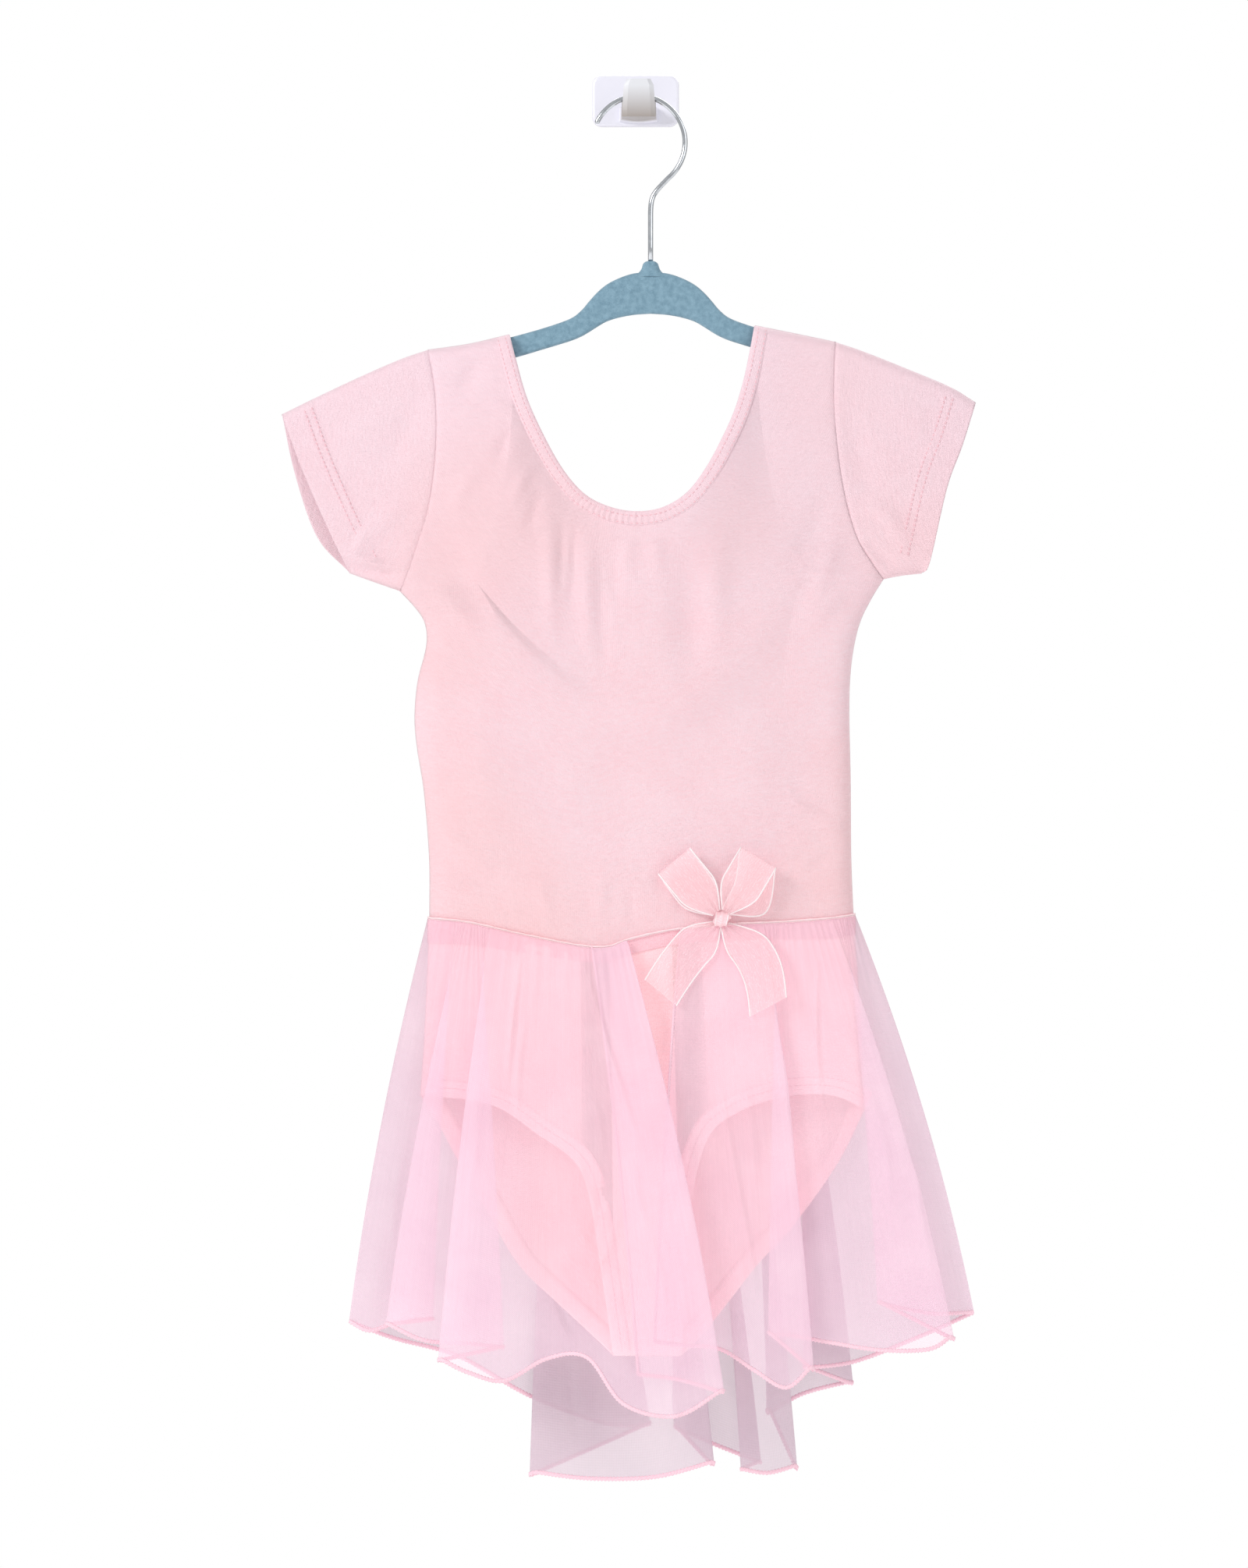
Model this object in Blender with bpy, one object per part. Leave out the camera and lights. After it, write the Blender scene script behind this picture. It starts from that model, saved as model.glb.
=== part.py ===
"""A child's ballet dress, hung on a flocked hanger from a wall hook.

The frame: +Z is up, the wall is the plane y = 0, and the dress faces -Y. The origin is the
middle of the wall hook's back face. Sizes and places are in millimetres and become metres
where a mesh is made. Outlines are (x, z) points seen from the front.
"""

import math

import bmesh
import bpy
import numpy as np

MM = 0.001

# Cloth and seams
KNIT = 1.1
CHIFFON = 1.0
RIBBON = 1.0
SEAM = 0.3
SEAT = 0.95

# The dress hangs in one upright plane, this far in front of the wall
HANG_Y = -38.0
MIDDLE_X = 2.0
HALF_CHEST = 130.0

# Half the depth of the hollow inside the dress, by height
DEPTHS = {
    "height": (-778.0, -700.0, -610.0, -507.0, -420.0, -330.0, -260.0, -200.0, -142.0),
    "half": (6.0, 9.0, 12.5, 14.5, 14.0, 12.5, 11.5, 10.0, 8.0),
}
SIDE_FLATTENING = 0.45
RIDGE_ROUND = 6.0
SIDE_ROUND = 13.0
CROTCH_ROUND = 14.0

# Edges of the bodice, each from the middle or the bottom outwards
SHOULDER_LEFT = ((-128.2, -157.0), (-103.2, -153.4), (-78.2, -147.6))
SHOULDER_RIGHT = ((73.6, -142.0), (98.4, -147.0), (123.4, -152.2))
SLEEVE_TOP_LEFT = ((-128.2, -157.0), (-146.0, -163.2), (-172.0, -174.6), (-200.2, -188.0), (-218.4, -197.0))
SLEEVE_TOP_RIGHT = ((123.4, -152.2), (142.0, -158.6), (168.0, -169.0), (194.4, -180.2), (209.8, -189.6))
NECK = (
    (-78.2, -147.6),
    (-74.2, -163.0),
    (-67.2, -187.2),
    (-56.4, -211.2),
    (-44.6, -231.8),
    (-31.2, -246.8),
    (-15.4, -254.6),
    (1.0, -257.2),
    (17.0, -254.6),
    (31.6, -245.6),
    (43.4, -230.4),
    (53.8, -211.2),
    (61.4, -194.0),
    (66.8, -176.0),
    (70.6, -158.4),
    (73.6, -142.0),
)
BACK_NECK_DROP = 1.12
ARMHOLE_LEFT = (
    (-145.4, -305.6),
    (-139.7, -290.9),
    (-133.9, -273.6),
    (-128.2, -254.4),
    (-124.6, -229.9),
    (-123.2, -205.0),
    (-124.2, -182.0),
    (-128.2, -157.0),
)
ARMHOLE_RIGHT = (
    (152.8, -298.2),
    (145.6, -288.4),
    (136.8, -273.6),
    (129.6, -249.6),
    (124.8, -220.8),
    (122.6, -192.0),
    (122.6, -170.0),
    (123.4, -152.2),
)
SIDE_LEFT = (
    (-127.0, -507.6),
    (-127.2, -470.4),
    (-130.4, -430.0),
    (-134.6, -403.2),
    (-136.2, -384.0),
    (-134.4, -362.0),
    (-129.4, -342.0),
    (-128.8, -331.0),
    (-131.2, -322.4),
    (-137.3, -314.2),
    (-145.4, -305.6),
)
SIDE_RIGHT = (
    (134.2, -505.6),
    (132.8, -470.4),
    (132.4, -422.4),
    (131.6, -376.0),
    (133.2, -348.4),
    (137.8, -326.4),
    (145.2, -310.6),
    (152.8, -298.2),
)
WAIST = (
    (-127.0, -507.6),
    (-103.2, -510.0),
    (-69.6, -517.4),
    (-33.6, -524.4),
    (-16.8, -524.8),
    (-4.8, -520.6),
    (21.6, -514.8),
    (55.0, -511.4),
    (88.8, -509.8),
    (117.6, -507.8),
    (134.2, -505.6),
)
BACK_WAIST_DIP = 0.45

# Sleeve ends and undersides; the left cuff gapes, so its back reaches further than its front
UNDER_LEFT = ((-145.4, -305.6), (-160.8, -300.2), (-176.6, -294.4))
UNDER_RIGHT = ((152.8, -298.2), (164.0, -296.0), (176.4, -294.6))
CUFF_LEFT_FRONT = ((-176.6, -294.4), (-190.4, -266.0), (-206.0, -230.4), (-218.4, -197.0))
CUFF_LEFT_BACK = ((-176.6, -294.4), (-196.8, -272.4), (-210.4, -234.0), (-218.4, -197.0))
CUFF_RIGHT = ((176.4, -294.6), (181.4, -288.0), (192.0, -242.4), (201.6, -216.0), (209.8, -189.6))

# The brief under the skirt
BRIEF_SIDE_LEFT = ((-132.6, -616.8), (-129.6, -566.4), (-127.0, -507.6))
BRIEF_SIDE_RIGHT = ((141.6, -625.0), (138.4, -566.4), (134.2, -505.6))
CROTCH = ((-13.4, -777.6), (28.0, -777.6))
LEG_FRONT_LEFT = (
    (-132.6, -616.8),
    (-105.1, -618.7),
    (-83.0, -624.5),
    (-60.0, -640.4),
    (-38.0, -656.4),
    (-28.8, -676.8),
    (-21.6, -720.0),
    (-13.4, -777.6),
)
LEG_FRONT_RIGHT = (
    (28.0, -777.6),
    (30.6, -720.0),
    (34.8, -676.0),
    (44.6, -642.0),
    (62.0, -627.0),
    (84.0, -618.8),
    (104.0, -615.6),
    (124.0, -617.0),
    (141.6, -625.0),
)
LEG_BACK_LEFT = (
    (-132.6, -616.8),
    (-121.9, -633.6),
    (-110.9, -654.7),
    (-92.6, -686.4),
    (-72.4, -721.0),
    (-49.0, -744.4),
    (-30.0, -762.0),
    (-13.4, -777.6),
)
LEG_BACK_RIGHT = (
    (28.0, -777.6),
    (41.6, -764.0),
    (57.6, -744.0),
    (74.9, -721.9),
    (98.4, -696.0),
    (124.8, -658.6),
    (141.6, -625.0),
)

# The skirt's folds, in order along the hem. "waist" is the place on the waist seam that a
# line of the fold comes down from, "lift" how far it stands off the brief there, and the
# rest is where that line meets the hem. A line that turns back on the one before is a fold,
# and "nose" is the radius it turns with.
FOLD_COLUMNS = ("line", "waist", "lift", "hem_x", "hem_out", "hem_z", "nose")
SKIRT_OVER = (
    ("side", -127.0, 0.0, -177.0, 0.2, -757.0, 0.0),
    ("first flute", -122.0, 0.0, -164.0, 5.0, -762.4, 0.0),
    ("first flute inner", -117.0, 0.0, -146.0, 6.0, -757.0, 0.0),
    ("first fold", -112.0, 0.0, -127.0, 10.0, -755.0, 2.0),
    ("second flute edge", -106.0, 0.0, -151.0, 20.0, -757.6, 2.0),
    ("second flute", -102.0, 0.0, -130.0, 24.0, -767.0, 0.0),
    ("second flute inner", -99.0, 0.0, -104.0, 24.0, -769.0, 0.0),
    ("second fold", -95.6, 0.0, -84.0, 28.0, -771.0, 2.0),
    ("third flute edge", -89.6, 0.0, -118.0, 38.0, -778.0, 2.0),
    ("third flute", -78.0, 0.0, -102.0, 41.0, -785.6, 0.0),
    ("third flute low", -66.0, 0.0, -80.0, 38.0, -790.6, 0.0),
    ("third flute hollow", -50.0, 0.0, -54.0, 33.0, -777.4, 0.0),
    ("third flute rise", -36.0, 0.8, -30.0, 38.0, -776.4, 0.0),
    ("front flute", -25.0, 1.9, -8.0, 45.0, -804.0, 0.0),
    ("front flute low", -14.0, 2.4, 24.0, 47.0, -811.6, 0.0),
    ("front edge", -6.0, 1.4, 51.0, 43.0, -797.0, 2.0),
    ("front return", -17.0, 0.1, 26.0, 37.0, -790.0, 0.0),
    ("inner edge", -27.0, 0.0, 1.0, 34.5, -787.0, 0.0),
)
SKIRT_UNDER = (
    ("free edge", 28.0, 0.0, 12.0, 25.0, -768.0, 0.0),
    ("fourth flute hidden", 32.0, 0.0, 30.0, 26.0, -770.0, 0.0),
    ("fourth flute", 40.0, 0.0, 52.0, 26.0, -772.4, 0.0),
    ("fourth flute low", 56.0, 0.0, 72.0, 29.0, -784.6, 0.0),
    ("fourth flute end", 70.0, 0.0, 92.0, 29.5, -795.6, 0.0),
    ("fourth edge", 79.0, 0.0, 107.0, 25.0, -784.0, 2.0),
    ("fourth fold", 86.0, 0.0, 83.6, 15.0, -764.0, 2.0),
    ("fifth flute hidden", 91.0, 0.0, 96.0, 12.0, -765.0, 0.0),
    ("fifth flute", 97.0, 0.0, 120.0, 16.0, -769.0, 0.0),
    ("fifth flute low", 106.0, 0.0, 150.0, 18.5, -773.4, 0.0),
    ("fifth flute end", 115.0, 0.0, 180.0, 18.0, -773.0, 0.0),
    ("fifth edge", 121.0, 0.0, 193.0, 14.0, -766.0, 1.8),
    ("fifth fold", 128.0, 0.0, 153.0, 5.6, -746.0, 1.8),
    ("side flute", 131.4, 0.0, 182.0, 2.4, -752.0, 0.0),
    ("side", 134.2, 0.0, 209.0, 0.2, -751.4, 0.0),
)
SKIRT_BACK = (
    ("side", -127.0, 0.0, -177.0, 0.2, -757.0, 0.0),
    ("back flute", -119.0, 0.0, -150.0, 9.0, -768.0, 0.0),
    ("back flute middle", -106.0, 0.0, -110.0, 18.0, -780.0, 0.0),
    ("back flute low", -92.0, 0.0, -66.0, 25.0, -805.0, 0.0),
    ("back flute inner", -76.0, 0.0, -22.0, 31.0, -822.0, 0.0),
    ("back fold", -62.5, 0.0, 4.0, 28.0, -824.0, 2.0),
    ("tail edge", -50.0, 0.0, -60.0, 19.5, -852.0, 2.0),
    ("tail", -36.0, 0.0, -28.0, 16.0, -855.6, 0.0),
    ("tail middle", -18.0, 0.0, 12.0, 16.0, -854.6, 0.0),
    ("tail right edge", -2.0, 0.0, 45.6, 19.5, -846.0, 1.8),
    ("tail fold", 7.0, 0.0, 27.0, 27.0, -826.0, 1.8),
    ("recess", 16.0, 0.0, 50.0, 29.0, -836.0, 0.0),
    ("recess fold", 27.0, 0.0, 76.0, 25.0, -846.0, 1.6),
    ("last tail edge", 35.0, 0.0, 66.6, 19.0, -850.0, 1.6),
    ("last tail", 44.0, 0.0, 82.0, 15.0, -852.0, 0.0),
    ("last tail right edge", 58.0, 0.0, 98.4, 20.0, -848.0, 2.0),
    ("last tail fold", 67.0, 0.0, 84.0, 30.0, -816.0, 2.0),
    ("right flute", 79.0, 0.0, 104.0, 34.0, -804.6, 0.0),
    ("right flute edge", 92.0, 0.0, 132.0, 29.0, -797.0, 2.0),
    ("right fold", 101.0, 0.0, 107.0, 19.0, -787.0, 2.0),
    ("side flute", 110.0, 0.0, 136.0, 15.5, -783.0, 0.0),
    ("side flute end", 124.0, 0.0, 176.0, 8.0, -767.0, 0.0),
    ("side", 134.2, 0.0, 209.0, 0.2, -751.4, 0.0),
)
SKIRT_BOW_OUT = 0.33
SKIRT_DEPTH_POWER = 0.55
SKIRT_ROWS = (0.0, 0.05, 0.1, 0.15, 0.22, 0.36, 0.56, 0.78, 1.0)
NOSE_SPREAD = 0.5
LIFT_SPREAD = 0.9
FOLD_RADIUS = 1.0
EASE_STEP = 0.2
EASE_ROUNDS = 150
COLUMN_LENGTH = 26.0
COLUMN_TURN = 1.15

# The ribbon bow at the waist
BOW_KNOT = (52.8, -507.8)
KNOT_RADIUS = 4.6
KNOT_HALF_DEPTH = 3.0
RIBBON_WIDTH = 25.0
RIBBON_GATHERED = 5.6
LOOP_COLUMNS = ("side", "end_x", "end_z", "lean_x", "lean_z")
LOOPS = (
    ("left", 23.8, -472.4, 0.0, -2.0),
    ("right", 75.1, -470.4, 5.0, -9.0),
)
LOOP_BULGE = 4.6
LOOP_START = 0.34
TAIL_COLUMNS = ("side", "end_x", "end_z", "kink_x", "kink_z")
TAILS = (
    ("left", 15.6, -552.7, -1.5, 2.0),
    ("right", 81.1, -561.4, 7.0, 3.0),
)

# Hanger and wall hook
HANGER_X = 9.2
HANGER_THICK = 5.0
HANGER_COLUMNS = ("distance", "top", "bottom")
HANGER_ARM = (
    (0.0, -109.0, -134.6),
    (10.0, -109.6, -135.3),
    (19.0, -112.4, -136.9),
    (27.0, -116.5, -139.4),
    (33.0, -121.5, -142.8),
    (38.0, -127.0, -146.0),
    (43.0, -132.8, -148.8),
    (50.0, -137.8, -151.6),
    (66.0, -143.4, -156.5),
    (86.0, -149.0, -162.3),
    (112.0, -155.4, -168.3),
    (137.0, -162.2, -174.5),
    (152.0, -168.0, -179.4),
    (166.0, -174.0, -183.6),
    (173.0, -178.0, -184.6),
    (176.0, -180.4, -183.6),
)
COLLAR_RADIUS = 4.7
COLLAR_TOP = -102.2
COLLAR_BASE = -114.0
SOCKET_DEPTH = 7.0

WIRE = 3.2
WIRE_GAP = 0.3
HOOK_CENTRE = (1.9, -28.8)
HOOK_RADIUS = 28.6
HOOK_TIP_ANGLE = 154.0
HOOK_TURN_ANGLE = -50.0
HOOK_BENDS = ((13.2, -58.3), (10.2, -63.6), (9.3, -70.0), (9.2, -80.0))

PLATE_SIZE = (54.0, 5.0, 32.0)
PLATE_CORNER = 6.0
ARM_WIDTH = 21.0
ARM_DROP = 9.5
PRONG_THICK = 5.0
PRONG_TOP = 10.0
PRONG_TOP_WIDTH = 18.0

COLOURS = {
    "knit": (1.0, 0.72, 0.75),
    "chiffon": (0.96, 0.74, 0.84),
    "ribbon": (1.0, 0.80, 0.84),
    "flock": (0.24, 0.34, 0.40),
    "chrome": (0.80, 0.81, 0.83),
    "plastic": (0.90, 0.89, 0.87),
}


def clear_scene():
    for obj in list(bpy.data.objects):
        bpy.data.objects.remove(obj, do_unlink=True)


def finish_named(name, roughness=0.8, metallic=0.0):
    """The plain material of a finish, made once."""
    material = bpy.data.materials.get(name)
    if material is None:
        material = bpy.data.materials.new(name)
        material.use_nodes = True
        shader = material.node_tree.nodes["Principled BSDF"]
        shader.inputs["Base Color"].default_value = (*COLOURS[name], 1.0)
        shader.inputs["Roughness"].default_value = roughness
        shader.inputs["Metallic"].default_value = metallic
    return material


def add_object(name, bm, material):
    """Turns a bmesh in millimetres into a named object in metres."""
    bmesh.ops.recalc_face_normals(bm, faces=bm.faces)
    bmesh.ops.scale(bm, vec=(MM, MM, MM), verts=bm.verts)
    mesh = bpy.data.meshes.new(name)
    bm.to_mesh(mesh)
    bm.free()
    mesh.shade_smooth()
    mesh.set_sharp_from_angle(angle=math.radians(40))
    mesh.materials.append(material)
    obj = bpy.data.objects.new(name, mesh)
    bpy.context.scene.collection.objects.link(obj)
    return obj


def smooth_line(knots, steps):
    """A smooth curve through every knot, with this many points to each stretch."""
    rows = np.asarray(knots, float)
    ends = np.vstack((2 * rows[0] - rows[1], rows, 2 * rows[-1] - rows[-2]))
    share = (np.arange(steps) / steps)[:, None]
    points = []
    for start in range(len(rows) - 1):
        a, b, c, d = ends[start : start + 4]
        cubic = -a + 3 * b - 3 * c + d
        square = 2 * a - 5 * b + 4 * c - d
        points.append(b + 0.5 * (share * (c - a) + share**2 * square + share**3 * cubic))
    points.append(rows[-1:])
    return np.vstack(points)


def along(line, shares):
    """Points of a line at these shares of its length."""
    pieces = np.linalg.norm(np.diff(line, axis=0), axis=1)
    run = np.concatenate(([0.0], np.cumsum(pieces))) / pieces.sum()
    return np.column_stack([np.interp(shares, run, line[:, axis]) for axis in range(line.shape[1])])


def along_parts(parts, cuts, shares):
    """Points along several lines end to end, where each line takes the shares between two cuts."""
    points = np.zeros((len(shares), 2))
    for line, low, high in zip(parts, cuts, cuts[1:]):
        inside = (shares >= low - 1e-9) & (shares <= high + 1e-9)
        points[inside] = along(smooth_line(line, 8), (shares[inside] - low) / (high - low))
    return points


def patch(bottom, top, left, right, across, up):
    """Fills four edges with an even grid of (x, z) points, rows going up."""
    u = across[None, :, None]
    v = up[:, None, None]
    ruled = (1 - v) * bottom[None] + v * top[None] + (1 - u) * left[:, None] + u * right[:, None]
    corners = (1 - u) * (1 - v) * bottom[0] + u * (1 - v) * bottom[-1]
    corners = corners + (1 - u) * v * top[0] + u * v * top[-1]
    return ruled - corners


def distance_to(line, x, z):
    """How far each (x, z) is from a line."""
    points = smooth_line(line, 8) if len(line) > 2 else np.array(line)
    nearest = np.full(np.shape(x), 1e9)
    for (x0, z0), (x1, z1) in zip(points, points[1:]):
        length = (x1 - x0) ** 2 + (z1 - z0) ** 2
        share = np.clip(((x - x0) * (x1 - x0) + (z - z0) * (z1 - z0)) / length, 0, 1)
        gap = np.hypot(x - x0 - share * (x1 - x0), z - z0 - share * (z1 - z0))
        nearest = np.minimum(nearest, gap)
    return nearest


def half_depth(x, z):
    """Half the depth of the hollow at a place: it closes to a seam's gap along every seam or fold."""
    full = np.interp(z, DEPTHS["height"], DEPTHS["half"])
    outwards = np.clip(np.abs(x - MIDDLE_X) / HALF_CHEST, 0, 1)
    full = full * (1 - SIDE_FLATTENING * outwards**2.5)
    near = np.ones(np.shape(x))
    for line in (SHOULDER_LEFT, SHOULDER_RIGHT, SLEEVE_TOP_LEFT, SLEEVE_TOP_RIGHT):
        near = np.minimum(near, distance_to(line, x, z) / RIDGE_ROUND)
    for line in (SIDE_LEFT, SIDE_RIGHT, UNDER_LEFT, UNDER_RIGHT, BRIEF_SIDE_LEFT, BRIEF_SIDE_RIGHT):
        near = np.minimum(near, distance_to(line, x, z) / SIDE_ROUND)
    near = np.minimum(near, distance_to(CROTCH, x, z) / CROTCH_ROUND)
    return SEAM / 2 + full * np.sqrt(1 - (1 - near) ** 2)


def give_depth(flat, facing):
    """Lifts an (x, z) grid off the hanging plane: facing is -1 for a front and 1 for a back."""
    x = flat[..., 0]
    z = flat[..., 1]
    return np.stack((x, HANG_Y + facing * half_depth(x, z), z), axis=-1)


def edge_outwards(grid, row, column, seam):
    """The direction out of a panel at a seam point, in the hanging plane and square to the seam."""
    last_row, last_column = grid.shape[0] - 1, grid.shape[1] - 1
    if seam == SIDE_SEAM:
        inside = grid[row, 1 if column == 0 else last_column - 1]
        edge = grid[min(row + 1, last_row), column] - grid[max(row - 1, 0), column]
    else:
        inside = grid[1 if row == 0 else last_row - 1, column]
        edge = grid[row, min(column + 1, last_column)] - grid[row, max(column - 1, 0)]
    edge = edge * (1, 0, 1)
    edge /= np.linalg.norm(edge)
    out = (grid[row, column] - inside) * (1, 0, 1)
    out = out - edge * np.dot(out, edge)
    return out / np.linalg.norm(out)


def depth_normals(grid, facing, seams):
    """Unit normals of a panel, out of the dress. On a seam they lie in the hanging plane."""
    x = grid[..., 0]
    z = grid[..., 2]
    step = 0.05
    slope_x = (half_depth(x + step, z) - half_depth(x - step, z)) / (2 * step)
    slope_z = (half_depth(x, z + step) - half_depth(x, z - step)) / (2 * step)
    normals = np.stack((-slope_x, np.full(x.shape, float(facing)), -slope_z), axis=-1)
    normals /= np.linalg.norm(normals, axis=-1, keepdims=True)
    for row, column in np.argwhere(seams):
        normals[row, column] = edge_outwards(grid, row, column, seams[row, column])
    return normals


def surface_normals(grid):
    """Unit normals of any grid of points."""
    normals = np.cross(np.gradient(grid, axis=1), np.gradient(grid, axis=0))
    return normals / np.linalg.norm(normals, axis=-1, keepdims=True)


def cloth_wall(grid, normals, thickness, ring=False):
    """A closed wall of cloth around a grid of its middle points. A ring's rows close on themselves."""
    rows, columns = grid.shape[:2]
    bm = bmesh.new()
    sides = []
    for sign in (1, -1):
        points = grid + sign * thickness / 2 * normals
        sides.append([[bm.verts.new(point) for point in row] for row in points])
    outer, inner = sides
    spans = [(c, (c + 1) % columns) for c in range(columns if ring else columns - 1)]
    for r in range(rows - 1):
        for c, d in spans:
            rising = np.linalg.norm(grid[r + 1, d] - grid[r, c])
            falling = np.linalg.norm(grid[r + 1, c] - grid[r, d])
            for side in sides:
                corners = (side[r][c], side[r][d], side[r + 1][d], side[r + 1][c])
                start = 0 if rising <= falling else 1
                a, b, e, f = corners[start:] + corners[:start]
                bm.faces.new((a, b, e))
                bm.faces.new((a, e, f))
    for r in (0, rows - 1):
        for c, d in spans:
            bm.faces.new((outer[r][c], outer[r][d], inner[r][d], inner[r][c]))
    if not ring:
        for c in (0, columns - 1):
            for r in range(rows - 1):
                bm.faces.new((outer[r][c], outer[r + 1][c], inner[r + 1][c], inner[r][c]))
    return bm


# Where the grid lines of a panel lie: close together beside a seam, where the cloth turns
SIDE_SEAM = 1
END_SEAM = 2
NECK_CUT = 0.125
UNDERARM_CUT = 0.58
CROTCH_CUT = 0.425
SIDE_SHARES = (0.0, 0.006, 0.022, 0.06)
NECK_SHARES = (0.0, 0.008, 0.022, 0.055, 0.12, 0.21, 0.31, 0.4, 0.5)
ARMHOLE_SHARES = (0.0, 0.025, 0.08, 0.2, 0.38, 0.58, 0.78, 0.9, 0.965, 0.99, 1.0)
SIDE_SEAM_SHARES = (0.0, 0.25, 0.5, 0.75, 0.93)
BEND_CUT = 0.3575
LEG_BENDS = {"front": (0.494, 0.565), "back": (0.76, 0.235)}
BRIEF_SHARES = (0.0, 0.02, 0.06, 0.13, 0.25, 0.42, 0.6, 0.8, 1.0)


def panel_columns():
    """The shares across a body panel at which its grid lines lie."""
    neck = NECK_CUT + (1 - 2 * NECK_CUT) * np.array(NECK_SHARES)
    half = np.concatenate((SIDE_SHARES, neck))
    return np.concatenate((half, 1 - half[-2::-1]))


def bodice_rows():
    side = UNDERARM_CUT * np.array(SIDE_SEAM_SHARES)
    armhole = UNDERARM_CUT + (1 - UNDERARM_CUT) * np.array(ARMHOLE_SHARES)
    return np.concatenate((side, armhole))


def waist_line(facing):
    """The waist seam: the back dips less than the front."""
    line = np.array(WAIST)
    if facing > 0:
        level = np.interp(line[:, 0], line[[0, -1], 0], line[[0, -1], 1])
        line[:, 1] = level + (line[:, 1] - level) * BACK_WAIST_DIP
    return line


def neck_line(facing):
    """The neck's edge: the back is scooped lower than the front."""
    line = np.array(NECK)
    if facing > 0:
        level = np.interp(line[:, 0], line[[0, -1], 0], line[[0, -1], 1])
        line[:, 1] = level + (line[:, 1] - level) * BACK_NECK_DROP
    return line


def bodice_panel(facing):
    across = panel_columns()
    up = bodice_rows()
    bottom = along_parts((waist_line(facing),), (0, 1), across)
    tops = (SHOULDER_LEFT, neck_line(facing), SHOULDER_RIGHT)
    top = along_parts(tops, (0, NECK_CUT, 1 - NECK_CUT, 1), across)
    left = along_parts((SIDE_LEFT, ARMHOLE_LEFT), (0, UNDERARM_CUT, 1), up)
    right = along_parts((SIDE_RIGHT, ARMHOLE_RIGHT), (0, UNDERARM_CUT, 1), up)
    grid = give_depth(patch(bottom, top, left, right, across, up), facing)
    seams = np.zeros(grid.shape[:2], int)
    seams[up <= UNDERARM_CUT + 1e-6, 0] = SIDE_SEAM
    seams[:, -1] = seams[:, 0]
    seams[-1, (across <= NECK_CUT + 1e-6) | (across >= 1 - NECK_CUT - 1e-6)] = END_SEAM
    return cloth_wall(grid, depth_normals(grid, facing, seams), KNIT)


def leg_edges(facing, across):
    """The lower edge of a brief panel: one leg, the crotch and the other leg."""
    legs = (LEG_FRONT_LEFT, LEG_FRONT_RIGHT) if facing < 0 else (LEG_BACK_LEFT, LEG_BACK_RIGHT)
    bends = LEG_BENDS["front" if facing < 0 else "back"]
    left = np.interp(across, (0, BEND_CUT, CROTCH_CUT), (0, bends[0], 1))
    right = np.interp(across, (1 - CROTCH_CUT, 1 - BEND_CUT, 1), (0, bends[1], 1))
    points = along(smooth_line(legs[0], 8), left)
    on_right = across >= 1 - CROTCH_CUT - 1e-6
    points[on_right] = along(smooth_line(legs[1], 8), right[on_right])
    middle = (across > CROTCH_CUT + 1e-6) & ~on_right
    share = (across[middle] - CROTCH_CUT) / (1 - 2 * CROTCH_CUT)
    points[middle] = along(np.array(CROTCH), share)
    return points


def brief_panel(facing):
    across = panel_columns()
    up = np.array(BRIEF_SHARES)
    bottom = leg_edges(facing, across)
    top = along_parts((waist_line(facing),), (0, 1), across)
    left = along_parts((BRIEF_SIDE_LEFT,), (0, 1), up)
    right = along_parts((BRIEF_SIDE_RIGHT,), (0, 1), up)
    grid = give_depth(patch(bottom, top, left, right, across, up), facing)
    seams = np.zeros(grid.shape[:2], int)
    seams[0, (across >= CROTCH_CUT - 1e-6) & (across <= 1 - CROTCH_CUT + 1e-6)] = END_SEAM
    seams[:, [0, -1]] = SIDE_SEAM
    normals = depth_normals(grid, facing, seams)
    grid[..., 2] -= SEAM * up[:, None]
    return cloth_wall(grid, normals, KNIT)


def sleeve(side):
    """A flattened tube from the armhole to the cuff, folded along its top and its underside."""
    sign = -1 if side == "left" else 1
    up = np.array(ARMHOLE_SHARES)
    out = np.linspace(0, 1, 7)
    grids = []
    normals = []
    for facing in (-1, 1):
        if side == "left":
            cuff = CUFF_LEFT_FRONT if facing < 0 else CUFF_LEFT_BACK
            edges = (UNDER_LEFT, SLEEVE_TOP_LEFT, ARMHOLE_LEFT, cuff)
        else:
            edges = (UNDER_RIGHT, SLEEVE_TOP_RIGHT, ARMHOLE_RIGHT, CUFF_RIGHT)
        under, top = (along_parts((edge,), (0, 1), out) for edge in edges[:2])
        armhole, cuff = (along_parts((edge,), (0, 1), up) for edge in edges[2:])
        flat = patch(under, top, armhole, cuff, out, up)
        grid = give_depth(flat, facing)
        folds = np.zeros(grid.shape[:2], int)
        folds[[0, -1]] = END_SEAM
        normals.append(depth_normals(grid, facing, folds))
        grid[[0, -1], :, 1] = HANG_Y
        clear = SEAM * (1.7 + 1.6 * (1 - up[:, None]) ** 6)
        grid[..., 0] += sign * clear * (1 - out[None, :])
        grids.append(grid)
    ring = np.concatenate((grids[0][::-1], grids[1][1:-1]))
    around = np.concatenate((normals[0][::-1], normals[1][1:-1]))
    return cloth_wall(np.swapaxes(ring, 0, 1), np.swapaxes(around, 0, 1), KNIT, ring=True)


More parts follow.
